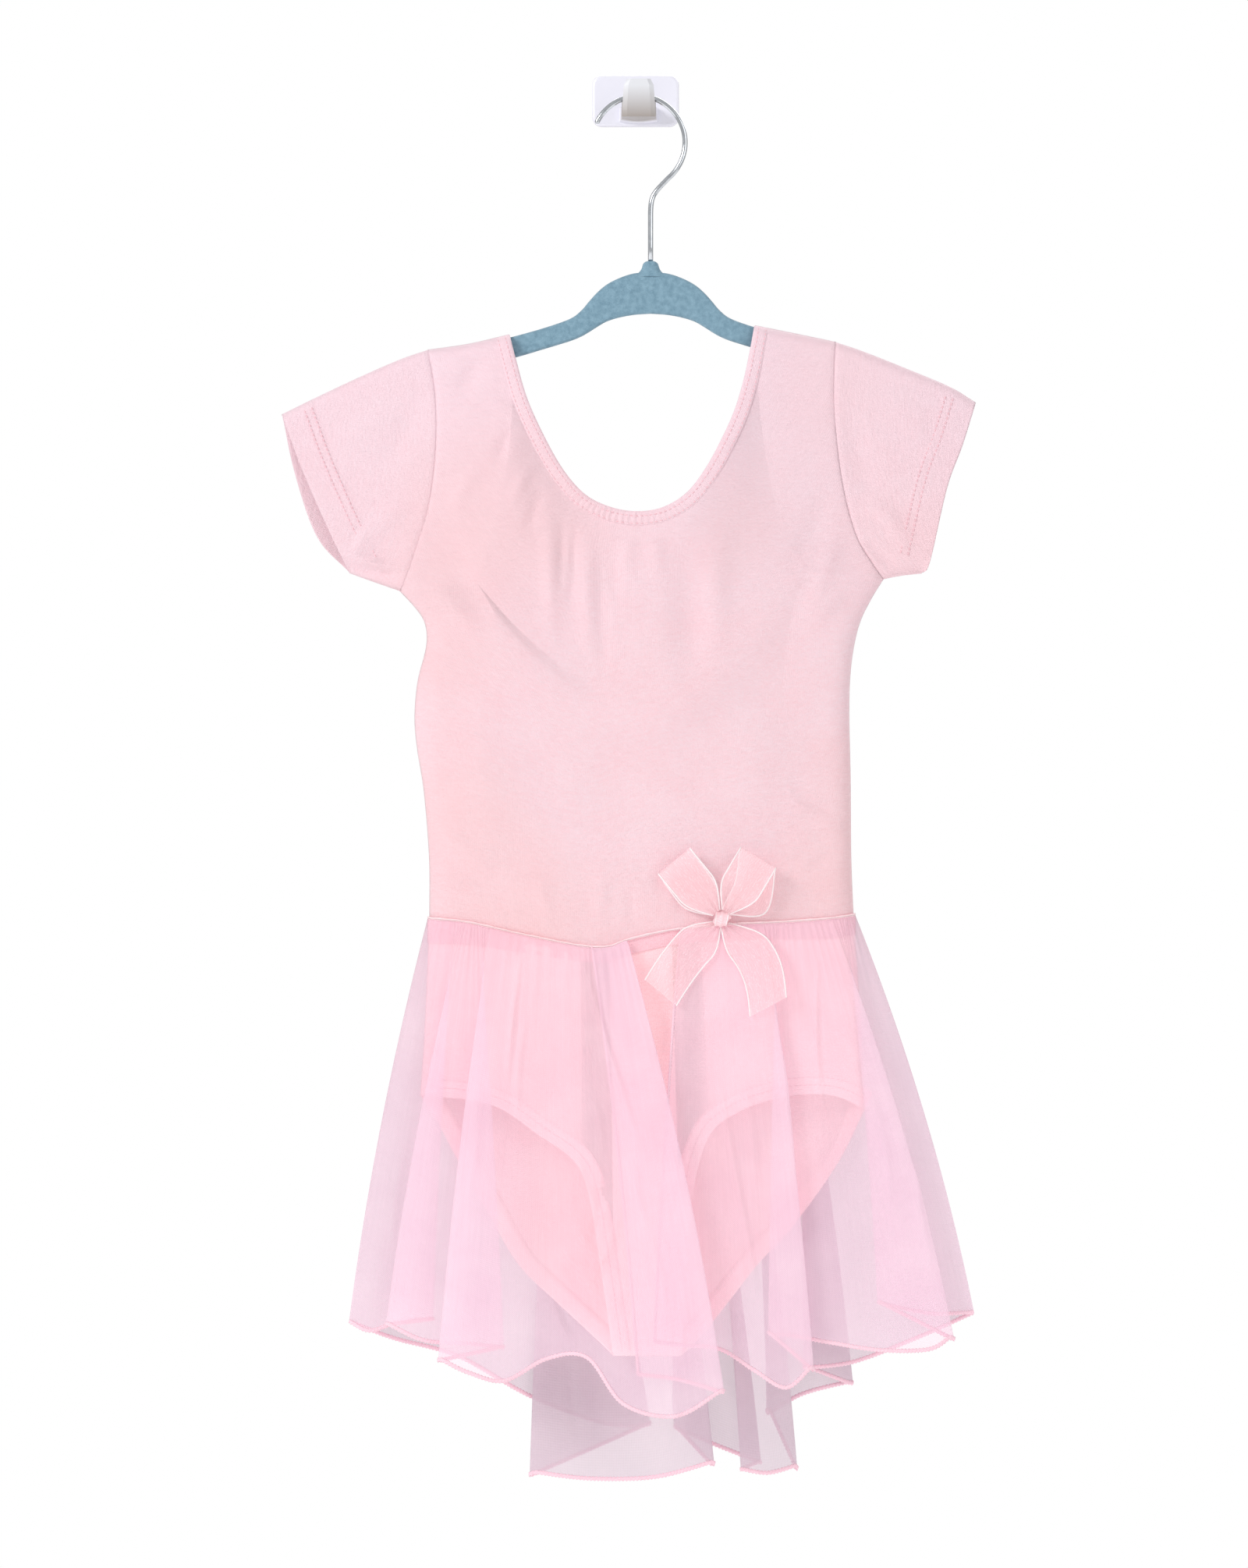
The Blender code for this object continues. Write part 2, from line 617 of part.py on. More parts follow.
def waist_ring(places, facing, lifts):
    """Points round the outside of the waist seam, where the skirt's top edge is sewn."""
    line = along(smooth_line(waist_line(facing), 8), np.linspace(0, 1, 400))
    x = np.concatenate((line[:1, 0] + np.linspace(0, 1, 60)[:-1] ** 3 * 3, line[:, 0]))
    x = np.unique(np.concatenate((x, line[-1, 0] - np.linspace(0, 1, 60) ** 3 * 3)))
    z = np.interp(x, line[:, 0], line[:, 1])
    y = HANG_Y + facing * half_depth(x, z)
    slope_x = np.gradient(x)
    slope_y = np.gradient(y)
    length = np.hypot(slope_x, slope_y)
    out = KNIT / 2 + 1.5 * SEAM + CHIFFON / 2
    out_x = x - facing * slope_y / length * out
    out_y = y + facing * slope_x / length * out
    out_x[0], out_y[0] = x[0] - out, HANG_Y + facing * SEAM / 2
    out_x[-1], out_y[-1] = x[-1] + out, HANG_Y + facing * SEAM / 2
    run = (places - x[0]) / (x[-1] - x[0])
    even = np.interp(run, np.linspace(0, 1, len(x)), np.arange(len(x)) / (len(x) - 1))
    spread = x[0] + even * (x[-1] - x[0])
    ring = [np.interp(spread, x, values) for values in (out_x, out_y, z - SEAM)]
    ring[1] = ring[1] + facing * lifts
    return np.column_stack(ring)


def round_noses(folds):
    """Rows of numbers for the lines of a skirt piece. A fold's line becomes two, a nose apart."""
    rows = [fold[1:-1] for fold in folds]
    lines = []
    for k, row in enumerate(rows):
        nose = folds[k][-1]
        if nose == 0.0:
            lines.append(row)
            continue
        waist, lift, x, out, z = row
        towards = math.copysign(nose, rows[k + 1][3] - rows[k - 1][3])
        onwards = math.copysign(NOSE_SPREAD, rows[k + 1][0] - rows[k - 1][0])
        lifted = math.copysign(LIFT_SPREAD if lift > 0 else 0.0, towards)
        lines.append((waist - onwards, lift - lifted, x, out - towards, z))
        lines.append((waist + onwards, lift + lifted, x, out + towards, z))
    return np.array(lines)


def eased(points):
    """A dense run of points, let out wherever it turns tighter than the cloth can."""
    run = np.concatenate(([0.0], np.cumsum(np.linalg.norm(np.diff(points, axis=0), axis=1))))
    even = np.append(np.arange(0.0, run[-1], EASE_STEP), run[-1])
    line = np.column_stack([np.interp(even, run, points[:, k]) for k in range(3)])
    for _ in range(EASE_ROUNDS):
        steps = np.diff(line, axis=0)
        lengths = np.linalg.norm(steps, axis=1, keepdims=True)
        bend = np.linalg.norm(np.diff(steps / lengths, axis=0), axis=1) / lengths[1:, 0]
        tight = np.convolve(np.clip(bend * FOLD_RADIUS - 0.8, 0, 1), np.ones(5) / 5, "same")
        line[1:-1] += 0.25 * tight[:, None] * (line[2:] + line[:-2] - 2 * line[1:-1])
    return np.column_stack([np.interp(run, even, line[:, k]) for k in range(3)])


def turning(line):
    """How far a run of points turns at each of its steps, seen from above."""
    steps = np.diff(line[:, :2], axis=0)
    turns = np.abs(np.diff(np.unwrap(np.arctan2(steps[:, 1], steps[:, 0]))))
    return np.concatenate(([0.0], turns))


def skirt_grid(folds, facing, rows, column_length, column_turn):
    """The skirt's middle surface and its normals: each line of a fold runs from waist to hem.

    The folds are eased, and the columns lie closer together wherever a row turns.
    """
    lines = smooth_line(round_noses(folds), 40)
    waist = waist_ring(lines[:, 0], facing, lines[:, 1])
    hem = np.column_stack((lines[:, 2], HANG_Y + facing * lines[:, 3], lines[:, 4]))
    dense = []
    for share in rows:
        spread = share + SKIRT_BOW_OUT * share * (1 - share)
        deep = share**SKIRT_DEPTH_POWER
        row = waist + (hem - waist) * np.array((1.0, 1.0, share))
        row[:, 0] = waist[:, 0] + (hem[:, 0] - waist[:, 0]) * spread
        row[:, 1] = waist[:, 1] + (hem[:, 1] - waist[:, 1]) * deep
        dense.append(eased(row))
    dense = np.array(dense)
    lengths = np.linalg.norm(np.diff(dense[-1], axis=0), axis=1)
    turns = np.max([turning(row) for row in dense], axis=0)
    cost = np.concatenate(([0.0], np.cumsum(lengths / column_length + turns / column_turn)))
    columns = np.linspace(0, cost[-1], math.ceil(cost[-1]) + 1)
    places = np.interp(columns, cost, np.arange(len(cost)))
    normals = surface_normals(dense)
    low = np.floor(places).astype(int).clip(0, len(cost) - 2)
    part = (places - low)[None, :, None]
    grid = dense[:, low] * (1 - part) + dense[:, low + 1] * part
    normals = normals[:, low] * (1 - part) + normals[:, low + 1] * part
    return grid, normals / np.linalg.norm(normals, axis=-1, keepdims=True)


def skirt_piece(folds, facing, seam_left, seam_right):
    grid, normals = skirt_grid(folds, facing, SKIRT_ROWS, COLUMN_LENGTH, COLUMN_TURN)
    for column, is_seam in ((0, seam_left), (-1, seam_right)):
        if is_seam:
            normals[:, column, 1] = 0.0
    normals /= np.linalg.norm(normals, axis=-1, keepdims=True)
    return cloth_wall(grid, normals, CHIFFON)


def bow_back():
    """How far forward the skirt's top edge stands at the bow."""
    x, z = BOW_KNOT
    surface = HANG_Y - float(half_depth(np.array(x), np.array(z)))
    return surface - KNIT / 2 - 1.5 * SEAM - CHIFFON - SEAM


def ribbon_strip(path, widths, across):
    """A grid for a ribbon that follows a path, with its width along one direction."""
    offsets = np.linspace(-0.5, 0.5, 5)[None, :, None]
    return path[:, None, :] + offsets * widths[:, None, None] * across[None, None, :]


def bow_loop(end_x, end_z, lean_x, lean_z):
    knot_x, knot_z = BOW_KNOT
    length = math.hypot(end_x - knot_x, end_z - knot_z)
    axis = np.array(((end_x - knot_x) / length, 0.0, (end_z - knot_z) / length))
    across = np.array((-axis[2], 0.0, axis[0]))
    middle_y = bow_back() - LOOP_BULGE - RIBBON
    start = np.array((knot_x, middle_y, knot_z)) + axis * (KNOT_RADIUS + 1.6 * SEAM)
    turn = np.linspace(LOOP_START, 2 * math.pi - LOOP_START, 15)
    reach = (math.cos(LOOP_START) - np.cos(turn)) / (1 + math.cos(LOOP_START))
    path = start + axis * ((length - KNOT_RADIUS) * reach)[:, None]
    path[:, 1] -= LOOP_BULGE * np.sin(turn)
    lean = np.where(turn > math.pi, np.sin(turn - math.pi) ** 3, 0.0)[:, None]
    path = path + lean * np.array((lean_x, 0.0, lean_z))
    widths = np.interp(reach, (0, 0.5, 1), (RIBBON_GATHERED, RIBBON_WIDTH, RIBBON_WIDTH))
    strip = ribbon_strip(path, widths, across)
    return cloth_wall(strip, surface_normals(strip), RIBBON)


def bow_tail(end_x, end_z, kink_x, kink_z):
    knot_x, knot_z = BOW_KNOT
    length = math.hypot(end_x - knot_x, end_z - knot_z)
    axis = np.array(((end_x - knot_x) / length, 0.0, (end_z - knot_z) / length))
    across = np.array((-axis[2], 0.0, axis[0]))
    share = np.linspace(0, 1, 9)
    start = np.array((knot_x, bow_back() - 2.0, knot_z)) + axis * (KNOT_RADIUS + 1.6 * SEAM)
    path = start + axis * ((length - KNOT_RADIUS) * share)[:, None]
    path[:, 0] += kink_x * np.sin(math.pi * share)
    path[:, 1] -= 5.0 * share
    path[:, 2] += kink_z * np.sin(math.pi * share)
    widths = np.interp(share, (0, 0.35, 1), (RIBBON_GATHERED, RIBBON_WIDTH, RIBBON_WIDTH))
    strip = ribbon_strip(path, widths, across)
    return cloth_wall(strip, surface_normals(strip), RIBBON)


def knot_form():
    """The bow's knot: a small round cushion of wrapped ribbon."""
    bm = bmesh.new()
    bmesh.ops.create_icosphere(bm, subdivisions=2, radius=1.0)
    bmesh.ops.scale(bm, vec=(KNOT_RADIUS, KNOT_HALF_DEPTH, KNOT_RADIUS), verts=bm.verts)
    centre = (BOW_KNOT[0], bow_back() - KNOT_HALF_DEPTH, BOW_KNOT[1])
    bmesh.ops.translate(bm, vec=centre, verts=bm.verts)
    return bm


def loft(rings):
    """A closed solid through rings of equal point counts, with flat ends."""
    bm = bmesh.new()
    made = [[bm.verts.new(point) for point in ring] for ring in rings]
    count = len(made[0])
    for low, high in zip(made, made[1:]):
        for k in range(count):
            after = (k + 1) % count
            bm.faces.new((low[k], low[after], high[after], high[k]))
    bm.faces.new(made[0])
    bm.faces.new(made[-1])
    return bm


def ridge_height(x):
    """The height of the dress's shoulder and sleeve line over the hanger."""
    left = np.vstack((smooth_line(SLEEVE_TOP_LEFT, 4)[::-1], smooth_line(SHOULDER_LEFT, 4)[1:]))
    right = np.vstack((smooth_line(SHOULDER_RIGHT, 4), smooth_line(SLEEVE_TOP_RIGHT, 4)[1:]))
    if x < left[-1, 0]:
        return float(np.interp(x, left[:, 0], left[:, 1]))
    if x > right[0, 0]:
        return float(np.interp(x, right[:, 0], right[:, 1]))
    return math.inf


def hanger_body():
    """The flocked hanger: a thin arched bar with rounded edges, both arms alike."""
    arm = np.array(HANGER_ARM)
    stations = [(-distance, top, bottom) for distance, top, bottom in arm[::-1]]
    stations += [tuple(row) for row in arm[1:]]
    rings = []
    for distance, top, bottom in stations:
        x = HANGER_X + distance
        top = min(top, ridge_height(x) - SEAT)
        middle = (top + bottom) / 2
        half = (top - bottom) / 2
        thick = HANGER_THICK / 2 * min(1.0, half / 3.4)
        ring = []
        for k in range(12):
            turn = 2 * math.pi * (k + 0.5) / 12
            y = math.copysign(abs(math.cos(turn)) ** 0.6, math.cos(turn)) * thick
            z = math.copysign(abs(math.sin(turn)) ** 0.8, math.sin(turn)) * half
            ring.append((x, HANG_Y + y, middle + z))
        rings.append(ring)
    return loft(rings)


def turned(x, y, profile, sides):
    """A solid turned about an upright line from (radius, z) pairs."""
    rings = []
    for radius, z in profile:
        turns = [2 * math.pi * k / sides for k in range(sides)]
        rings.append([(x + radius * math.cos(t), y + radius * math.sin(t), z) for t in turns])
    return loft(rings)


def combine(target, tool, operation):
    """Joins or cuts one object with another and leaves the result in the first."""
    change = target.modifiers.new(operation.lower(), "BOOLEAN")
    change.operation = operation
    change.solver = "EXACT"
    change.object = tool
    tool.hide_render = True
    tool.display_type = "WIRE"


def make_hanger():
    flock = finish_named("flock")
    body = add_object("hanger_body", hanger_body(), flock)
    profile = (
        (COLLAR_RADIUS, COLLAR_BASE),
        (COLLAR_RADIUS, COLLAR_TOP - 3.6),
        (COLLAR_RADIUS * 0.86, COLLAR_TOP - 1.0),
        (COLLAR_RADIUS * 0.6, COLLAR_TOP),
    )
    collar = add_object("collar_form", turned(HANGER_X, HANG_Y, profile, 16), flock)
    combine(body, collar, "UNION")
    bore = WIRE / 2 + WIRE_GAP
    hole = ((bore, COLLAR_TOP - SOCKET_DEPTH), (bore, COLLAR_TOP + 5.0))
    socket = add_object("socket_form", turned(HANGER_X, HANG_Y, hole, 16), flock)
    combine(body, socket, "DIFFERENCE")


def hook_path():
    """The wire's middle line, from its free tip over the wall hook and down into the collar."""
    centre_x, centre_z = HOOK_CENTRE
    angles = np.radians(np.linspace(HOOK_TIP_ANGLE, HOOK_TURN_ANGLE, 24))
    arc = np.column_stack((centre_x + HOOK_RADIUS * np.cos(angles), centre_z + HOOK_RADIUS * np.sin(angles)))
    bends = smooth_line((tuple(arc[-1]),) + HOOK_BENDS, 2)[1:]
    foot = COLLAR_TOP - SOCKET_DEPTH + WIRE_GAP
    return np.vstack((arc, bends, ((HANGER_X, -90.0), (HANGER_X, foot))))


def make_hook_wire():
    """A curve with a round bevel, as a bent wire is."""
    curve = bpy.data.curves.new("hanger_hook", "CURVE")
    curve.dimensions = "3D"
    curve.bevel_depth = WIRE / 2 * MM
    curve.bevel_resolution = 3
    curve.use_fill_caps = True
    spline = curve.splines.new("POLY")
    path = hook_path()
    spline.points.add(len(path) - 1)
    for point, (x, z) in zip(spline.points, path):
        point.co = (x * MM, HANG_Y * MM, z * MM, 1.0)
    curve.materials.append(finish_named("chrome", 0.15, 1.0))
    obj = bpy.data.objects.new("hanger_hook", curve)
    bpy.context.scene.collection.objects.link(obj)


def saddle_ring(y, top_lift, width, drop):
    """One section of the wall hook's arm: its top follows the inside of the wire's bend."""
    centre_x, centre_z = HOOK_CENTRE
    radius = HOOK_RADIUS - WIRE / 2 - WIRE_GAP
    across = np.linspace(-width / 2, width / 2, 7)
    top = [(centre_x + x, y, centre_z + math.sqrt(radius**2 - x**2) + top_lift) for x in across]
    base = centre_z + radius - drop
    low = [(centre_x + x, y, base - 1.2 * math.cos(math.pi * x / width)) for x in across[::-1]]
    return top + low


def make_wall_hook():
    """A moulded wall hook: a plate against the wall, an arm and an upturned prong."""
    plastic = finish_named("plastic", 0.45)
    width, thick, height = PLATE_SIZE
    plate = bmesh.new()
    bmesh.ops.create_cube(plate, size=1.0)
    bmesh.ops.scale(plate, vec=PLATE_SIZE, verts=plate.verts)
    corners = [e for e in plate.edges if abs(e.verts[0].co.y - e.verts[1].co.y) > 1]
    bmesh.ops.bevel(plate, geom=corners, offset=PLATE_CORNER, segments=5, profile=0.5, affect="EDGES")
    front = [e for e in plate.edges if max(v.co.y for v in e.verts) < 0]
    bmesh.ops.bevel(plate, geom=front, offset=1.6, segments=2, profile=0.5, affect="EDGES")
    bmesh.ops.translate(plate, vec=(0, -thick / 2, 0), verts=plate.verts)
    hook = add_object("wall_hook", plate, plastic)
    wire_front = HANG_Y - WIRE / 2 - WIRE_GAP
    prong_front = wire_front - PRONG_THICK
    arm_rings = [
        saddle_ring(-2.0, 0.0, ARM_WIDTH + 4.0, ARM_DROP + 2.0),
        saddle_ring(-12.0, 0.0, ARM_WIDTH, ARM_DROP),
        saddle_ring(wire_front - 2.0, 0.0, ARM_WIDTH, ARM_DROP),
    ]
    arm = add_object("arm_form", loft(arm_rings), plastic)
    combine(hook, arm, "UNION")
    centre_x, centre_z = HOOK_CENTRE
    low = centre_z + HOOK_RADIUS - WIRE / 2 - WIRE_GAP - ARM_DROP - 1.5
    prong_rings = []
    for share in np.linspace(0, 1, 7):
        z = low + (PRONG_TOP - low) * share
        half = (ARM_WIDTH + (PRONG_TOP_WIDTH - ARM_WIDTH) * share) / 2
        half *= 1.0 if share < 0.9 else 0.8
        inset = 0.5 if share in (0.0, 1.0) else 0.0
        front_y = prong_front + 1.2 * (1 - share) + inset
        ring = [
            (centre_x - half, wire_front - inset, z),
            (centre_x - half, front_y + 1.6, z),
            (centre_x - half * 0.7, front_y, z),
            (centre_x + half * 0.7, front_y, z),
            (centre_x + half, front_y + 1.6, z),
            (centre_x + half, wire_front - inset, z),
        ]
        prong_rings.append(ring)
    prong = add_object("prong_form", loft(prong_rings), plastic)
    combine(hook, prong, "UNION")


def make_dress():
    knit = finish_named("knit", 0.9)
    chiffon = finish_named("chiffon", 0.6)
    add_object("bodice_front", bodice_panel(-1), knit)
    add_object("bodice_back", bodice_panel(1), knit)
    add_object("sleeve_left", sleeve("left"), knit)
    add_object("sleeve_right", sleeve("right"), knit)
    add_object("brief_front", brief_panel(-1), knit)
    add_object("brief_back", brief_panel(1), knit)
    add_object("skirt_over", skirt_piece(SKIRT_OVER, -1, True, False), chiffon)
    add_object("skirt_under", skirt_piece(SKIRT_UNDER, -1, False, True), chiffon)
    add_object("skirt_back", skirt_piece(SKIRT_BACK, 1, True, True), chiffon)


def make_bow():
    ribbon = finish_named("ribbon", 0.35)
    for side, *place in LOOPS:
        add_object("bow_loop_" + side, bow_loop(*place), ribbon)
    for side, *place in TAILS:
        add_object("bow_tail_" + side, bow_tail(*place), ribbon)
    add_object("bow_knot", knot_form(), ribbon)


def main():
    clear_scene()
    make_wall_hook()
    make_hook_wire()
    make_hanger()
    make_dress()
    make_bow()


main()
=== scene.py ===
# %% [markdown]
# # A child's ballet dress on its hanger
#
# A knit leotard with a wrap-over chiffon skirt hangs on a flocked hanger from a wall hook. The
# imported model already has the right sizes and places. This lesson dresses it: each sewn piece
# becomes a fine surface with its creases, hems and stitches, and each finish gets a material.

# %% Load the imported model and list its nodes
import math
from collections import namedtuple

import bmesh
import bpy
import numpy as np
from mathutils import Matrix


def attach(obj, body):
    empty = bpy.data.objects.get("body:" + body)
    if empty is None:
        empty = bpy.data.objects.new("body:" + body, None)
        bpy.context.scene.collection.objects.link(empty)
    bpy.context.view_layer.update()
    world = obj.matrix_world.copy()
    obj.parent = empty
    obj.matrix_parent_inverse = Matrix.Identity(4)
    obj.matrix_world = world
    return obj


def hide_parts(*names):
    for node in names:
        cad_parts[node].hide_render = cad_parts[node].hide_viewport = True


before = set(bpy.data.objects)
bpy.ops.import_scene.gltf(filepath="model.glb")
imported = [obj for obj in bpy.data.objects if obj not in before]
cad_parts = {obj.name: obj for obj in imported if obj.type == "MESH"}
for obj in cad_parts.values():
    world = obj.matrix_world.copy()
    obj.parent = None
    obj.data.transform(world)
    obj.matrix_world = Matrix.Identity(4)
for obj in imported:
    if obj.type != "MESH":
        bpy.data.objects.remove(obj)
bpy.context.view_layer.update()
print("nodes:", ", ".join(sorted(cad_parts)))

# %% [markdown]
# ## Shader maths
# A material in Blender is a tree of nodes. Writing it as sums and products of named values keeps
# it readable, so one small class wraps a node's output and turns arithmetic into Math nodes.


# %% A value in a material
class Wire:
    """One output of a shader node. Arithmetic on it adds Math nodes."""

    def __init__(self, finish, output):
        self.finish = finish
        self.output = output

    def __getitem__(self, name):
        return Wire(self.finish, self.output.node.outputs[name])

    def math(self, operation, *values):
        sockets = dict(enumerate(values))
        return self.finish.node("Math", {"operation": operation}, sockets)

    def __add__(self, other):
        return self.math("ADD", self, other)

    def __sub__(self, other):
        return self.math("SUBTRACT", self, other)

    def __rsub__(self, other):
        return self.math("SUBTRACT", other, self)

    def __mul__(self, other):
        return self.math("MULTIPLY", self, other)

    __radd__ = __add__
    __rmul__ = __mul__

    def sine(self):
        return self.math("SINE", self)

    def above(self, low, high):
        """0 below the low value, 1 over the high one, and a straight rise between them."""
        spans = {"Value": self, "From Min": low, "From Max": high}
        return self.finish.node("MapRange", {"clamp": True}, spans)


# %% The material that the values belong to
class Finish:
    """A material in the making, with the one method that adds a node to it."""

    def __init__(self, name):
        self.material = bpy.data.materials.new(name)
        self.material.use_nodes = True
        self.tree = self.material.node_tree
        self.tree.nodes.clear()

    def node(self, kind, settings=None, sockets=None, output=0):
        made = self.tree.nodes.new("ShaderNode" + kind)
        for key, value in (settings or {}).items():
            setattr(made, key, value)
        for key, value in (sockets or {}).items():
            if isinstance(value, Wire):
                self.tree.links.new(value.output, made.inputs[key])
            else:
                made.inputs[key].default_value = value
        return Wire(self, made.outputs[output]) if len(made.outputs) else None

    def thread(self):
        """Millimetres across and along the cloth."""
        place = self.node("Attribute", {"attribute_name": "thread"})["Vector"]
        parts = self.node("SeparateXYZ", None, {0: place})
        return parts["X"], parts["Y"]

    def noise(self, scale, detail=3.0, place=None, roughness=0.55):
        place = place or self.node("TexCoord")["Object"]
        sockets = {"Vector": place, "Scale": scale, "Detail": detail, "Roughness": roughness}
        return self.node("TexNoise", None, sockets)["Fac"]

    def yarn_noise(self, across, along, detail=3.0):
        """Noise that follows the cloth's threads and not the room."""
        return self.noise(1.0, detail, self.node("CombineXYZ", None, {0: across, 1: along}))

    def blend(self, share, first, second):
        """A colour between two others."""
        return self.node("Mix", {"data_type": "RGBA"}, {0: share, 6: first, 7: second}, 2)

    def surface(self, height=None, reach=0.0003, strength=1.0, **sockets):
        """Ends the material in a Principled surface, with a bump where a height is given."""
        names = {key.replace("_", " "): value for key, value in sockets.items()}
        if height is not None:
            bump = {"Height": height, "Distance": reach, "Strength": strength}
            names["Normal"] = self.node("Bump", None, bump)
        shader = self.node("BsdfPrincipled", None, names)
        self.node("OutputMaterial", None, {"Surface": shader})
        return self.material


def tint(red, green, blue):
    """A colour read as 0 to 255 on a screen, as the linear colour that shaders use."""
    shares = (np.array((red, green, blue)) / 255) ** 2.2
    return (*shares, 1.0)


print("a middle grey on the screen is", round(tint(128, 128, 128)[0], 3), "to a shader")


# %% [markdown]
# ## The jersey
# The leotard is fine cotton jersey. Close up it has columns of stitches, and over them a haze of
# loose fibre and short slubs that make the pink uneven along the rows. Towards the shoulders it is
# painted paler and cooler, as painted light where the light falls on its top. Slow patches are
# painted towards peach, the colour of the jersey in shade, as painted shade put at random. Real
# loops would be a million small curves, so the stitches are bump and the haze is colour. Real
# chiffon scatters light on to the brief behind it, which its alpha can't do, so the veiled jersey
# glows a little.


# %% Jersey, and the thicker jersey of the edge casings
# Painted shade and painted light: peach is the jersey in shade, lilac is the jersey where light falls on
# the shoulders
SHADED_PEACH = tint(255, 201, 201)
LIT_LILAC = tint(252, 226, 238)
PALER_FROM = -0.36
PALER_TO = -0.15

# Millimetres between the columns and between the rows of stitches
WALE = 0.8
COURSE = 0.62


def jersey(name, light, deep, haze=1.0, glow=0.0):
    cloth = Finish(name)
    across, along = cloth.thread()
    wale = (across * (2 * math.pi / WALE)).sine()
    course = (along * (2 * math.pi / COURSE) + wale * 0.9).sine()
    fibre = cloth.yarn_noise(across * 0.55, along * 1.5, 4.0)
    patches = cloth.noise(34.0, 3.0)
    slub = cloth.yarn_noise(across * 0.14, along * 0.5)
    slow = cloth.noise(6.0, 1.0).above(0.42, 0.66)
    high = cloth.node("SeparateXYZ", None, {0: cloth.node("TexCoord")["Object"]})["Z"]
    share = fibre.above(0.3, 0.72) * (0.4 * haze) + slub.above(0.3, 0.7) * 0.3
    share = share + patches.above(0.3, 0.75) * 0.3
    height = wale * 0.15 + course * 0.12 + fibre * 0.7 + slub * 1.4
    # Painted shade in slow random patches, then painted light: paler towards the shoulders
    pink = cloth.blend(slow * 0.5, cloth.blend(share, deep, light), SHADED_PEACH)
    pink = cloth.blend(high.above(PALER_FROM, PALER_TO) * 0.5, pink, LIT_LILAC)
    return cloth.surface(
        height,
        reach=0.0005,
        strength=0.9,
        Base_Color=pink,
        Emission_Color=pink,
        Emission_Strength=glow,
        Roughness=fibre * 0.12 + 0.8,
        Sheen_Weight=0.35,
        Sheen_Roughness=0.5,
        Specular_IOR_Level=0.25,
    )


knit = jersey("knit_jersey", tint(255, 228, 236), tint(255, 208, 216))
casing_knit = jersey("casing_jersey", tint(255, 228, 236), tint(255, 210, 218), 0.8)
veiled_knit = jersey("veiled_jersey", tint(255, 221, 228), tint(254, 202, 208), glow=0.2)
# Painted light: the seam roll's jersey is a paler copy that glows, so that the roll does not show its
# shaded side
lit_seam_knit = jersey("lit_seam_jersey", tint(255, 232, 237), tint(255, 220, 226), 0.8, glow=0.16)
# Painted light: the allowance under the chiffon glows a little
allowance_knit = jersey("allowance_jersey", tint(252, 208, 218), tint(246, 184, 200), 1.4, glow=0.1)
print("jerseys:", len(bpy.data.materials))

# %% [markdown]
# ## The chiffon
# Chiffon is an open plain weave, so it is partly clear. Its threads let less light through
# where two layers cross, which is why folds look denser. The weave goes into the alpha as fine
# lines along the cloth's own threads, with slow streaks from uneven yarn. The back of the skirt
# lies in the shade of all the rest, so its chiffon is greyer and closes up more.


# %% Chiffon
WARP = 1.1
WEFT = 1.25


def chiffon(name, colour, pale, cover):
    cloth = Finish(name)
    across, along = cloth.thread()
    warp = (across * (2 * math.pi / WARP)).sine()
    weft = (along * (2 * math.pi / WEFT)).sine()
    streak = cloth.yarn_noise(across * 0.35, along * 0.02)
    cloud = cloth.noise(22.0, 2.0)
    weave = warp * weft * 0.04 + warp * 0.01 + streak * 0.06 + cloud * 0.12
    return cloth.surface(
        warp + weft,
        reach=0.0001,
        strength=0.3,
        Base_Color=cloth.blend(cloud.above(0.35, 0.7) * 0.7, colour, pale),
        Roughness=streak * 0.2 + 0.42,
        Alpha=weave + (cover - 0.1),
        # Painted light: a faint glow stands in for the light that the thin chiffon scatters through
        # itself
        Emission_Color=colour,
        Emission_Strength=0.1,
        Sheen_Weight=1.0,
        Sheen_Roughness=0.35,
        Specular_IOR_Level=0.3,
    )


sheer = chiffon("sheer_chiffon", tint(244, 210, 227), tint(250, 222, 235), 0.45)
shaded = chiffon("shaded_chiffon", tint(208, 186, 199), tint(220, 201, 211), 0.72)
print("chiffon threads:", WARP, "mm apart across and", WEFT, "mm along")


# %% Sewing threads
def thread_finish(name, colour, deep):
    yarn = Finish(name)
    twist = yarn.noise(1500.0, 2.0)
    return yarn.surface(
        twist,
        reach=0.0001,
        strength=0.6,
        Base_Color=yarn.blend(twist, deep, colour),
        Roughness=0.7,
        Sheen_Weight=0.3,
    )


overlock_thread = thread_finish("overlock_thread", tint(255, 224, 234), tint(246, 190, 208))
stitch_thread = thread_finish("stitch_thread", tint(253, 212, 219), tint(244, 184, 194))
print("threads:", overlock_thread.name, stitch_thread.name)

# %% [markdown]
# ## Ribbon, hanger and hooks
# The bow is organza ribbon: clear in the middle, with a satin line woven along each edge. The
# hanger is covered in short flock, the wire is plated and the wall hook is moulded plastic.


# %% Organza and its satin edge
def organza(name, cover):
    ribbon = Finish(name)
    across, along = ribbon.thread()
    wander = ribbon.yarn_noise(across * 0.5, along * 0.16, 4.0)
    squiggle = (across * 3.6 + wander * 22.0).sine()
    line = squiggle.above(0.5, 1.0)
    return ribbon.surface(
        line,
        reach=0.0002,
        strength=0.5,
        Base_Color=ribbon.blend(line * 0.5, tint(255, 212, 218), tint(255, 232, 236)),
        Roughness=line * -0.15 + 0.4,
        Alpha=line * 0.12 + wander * 0.16 + (cover - 0.1),
        # Painted light: the ribbon glows faintly
        Emission_Color=tint(255, 216, 222),
        Emission_Strength=0.12,
        Sheen_Weight=0.5,
    )


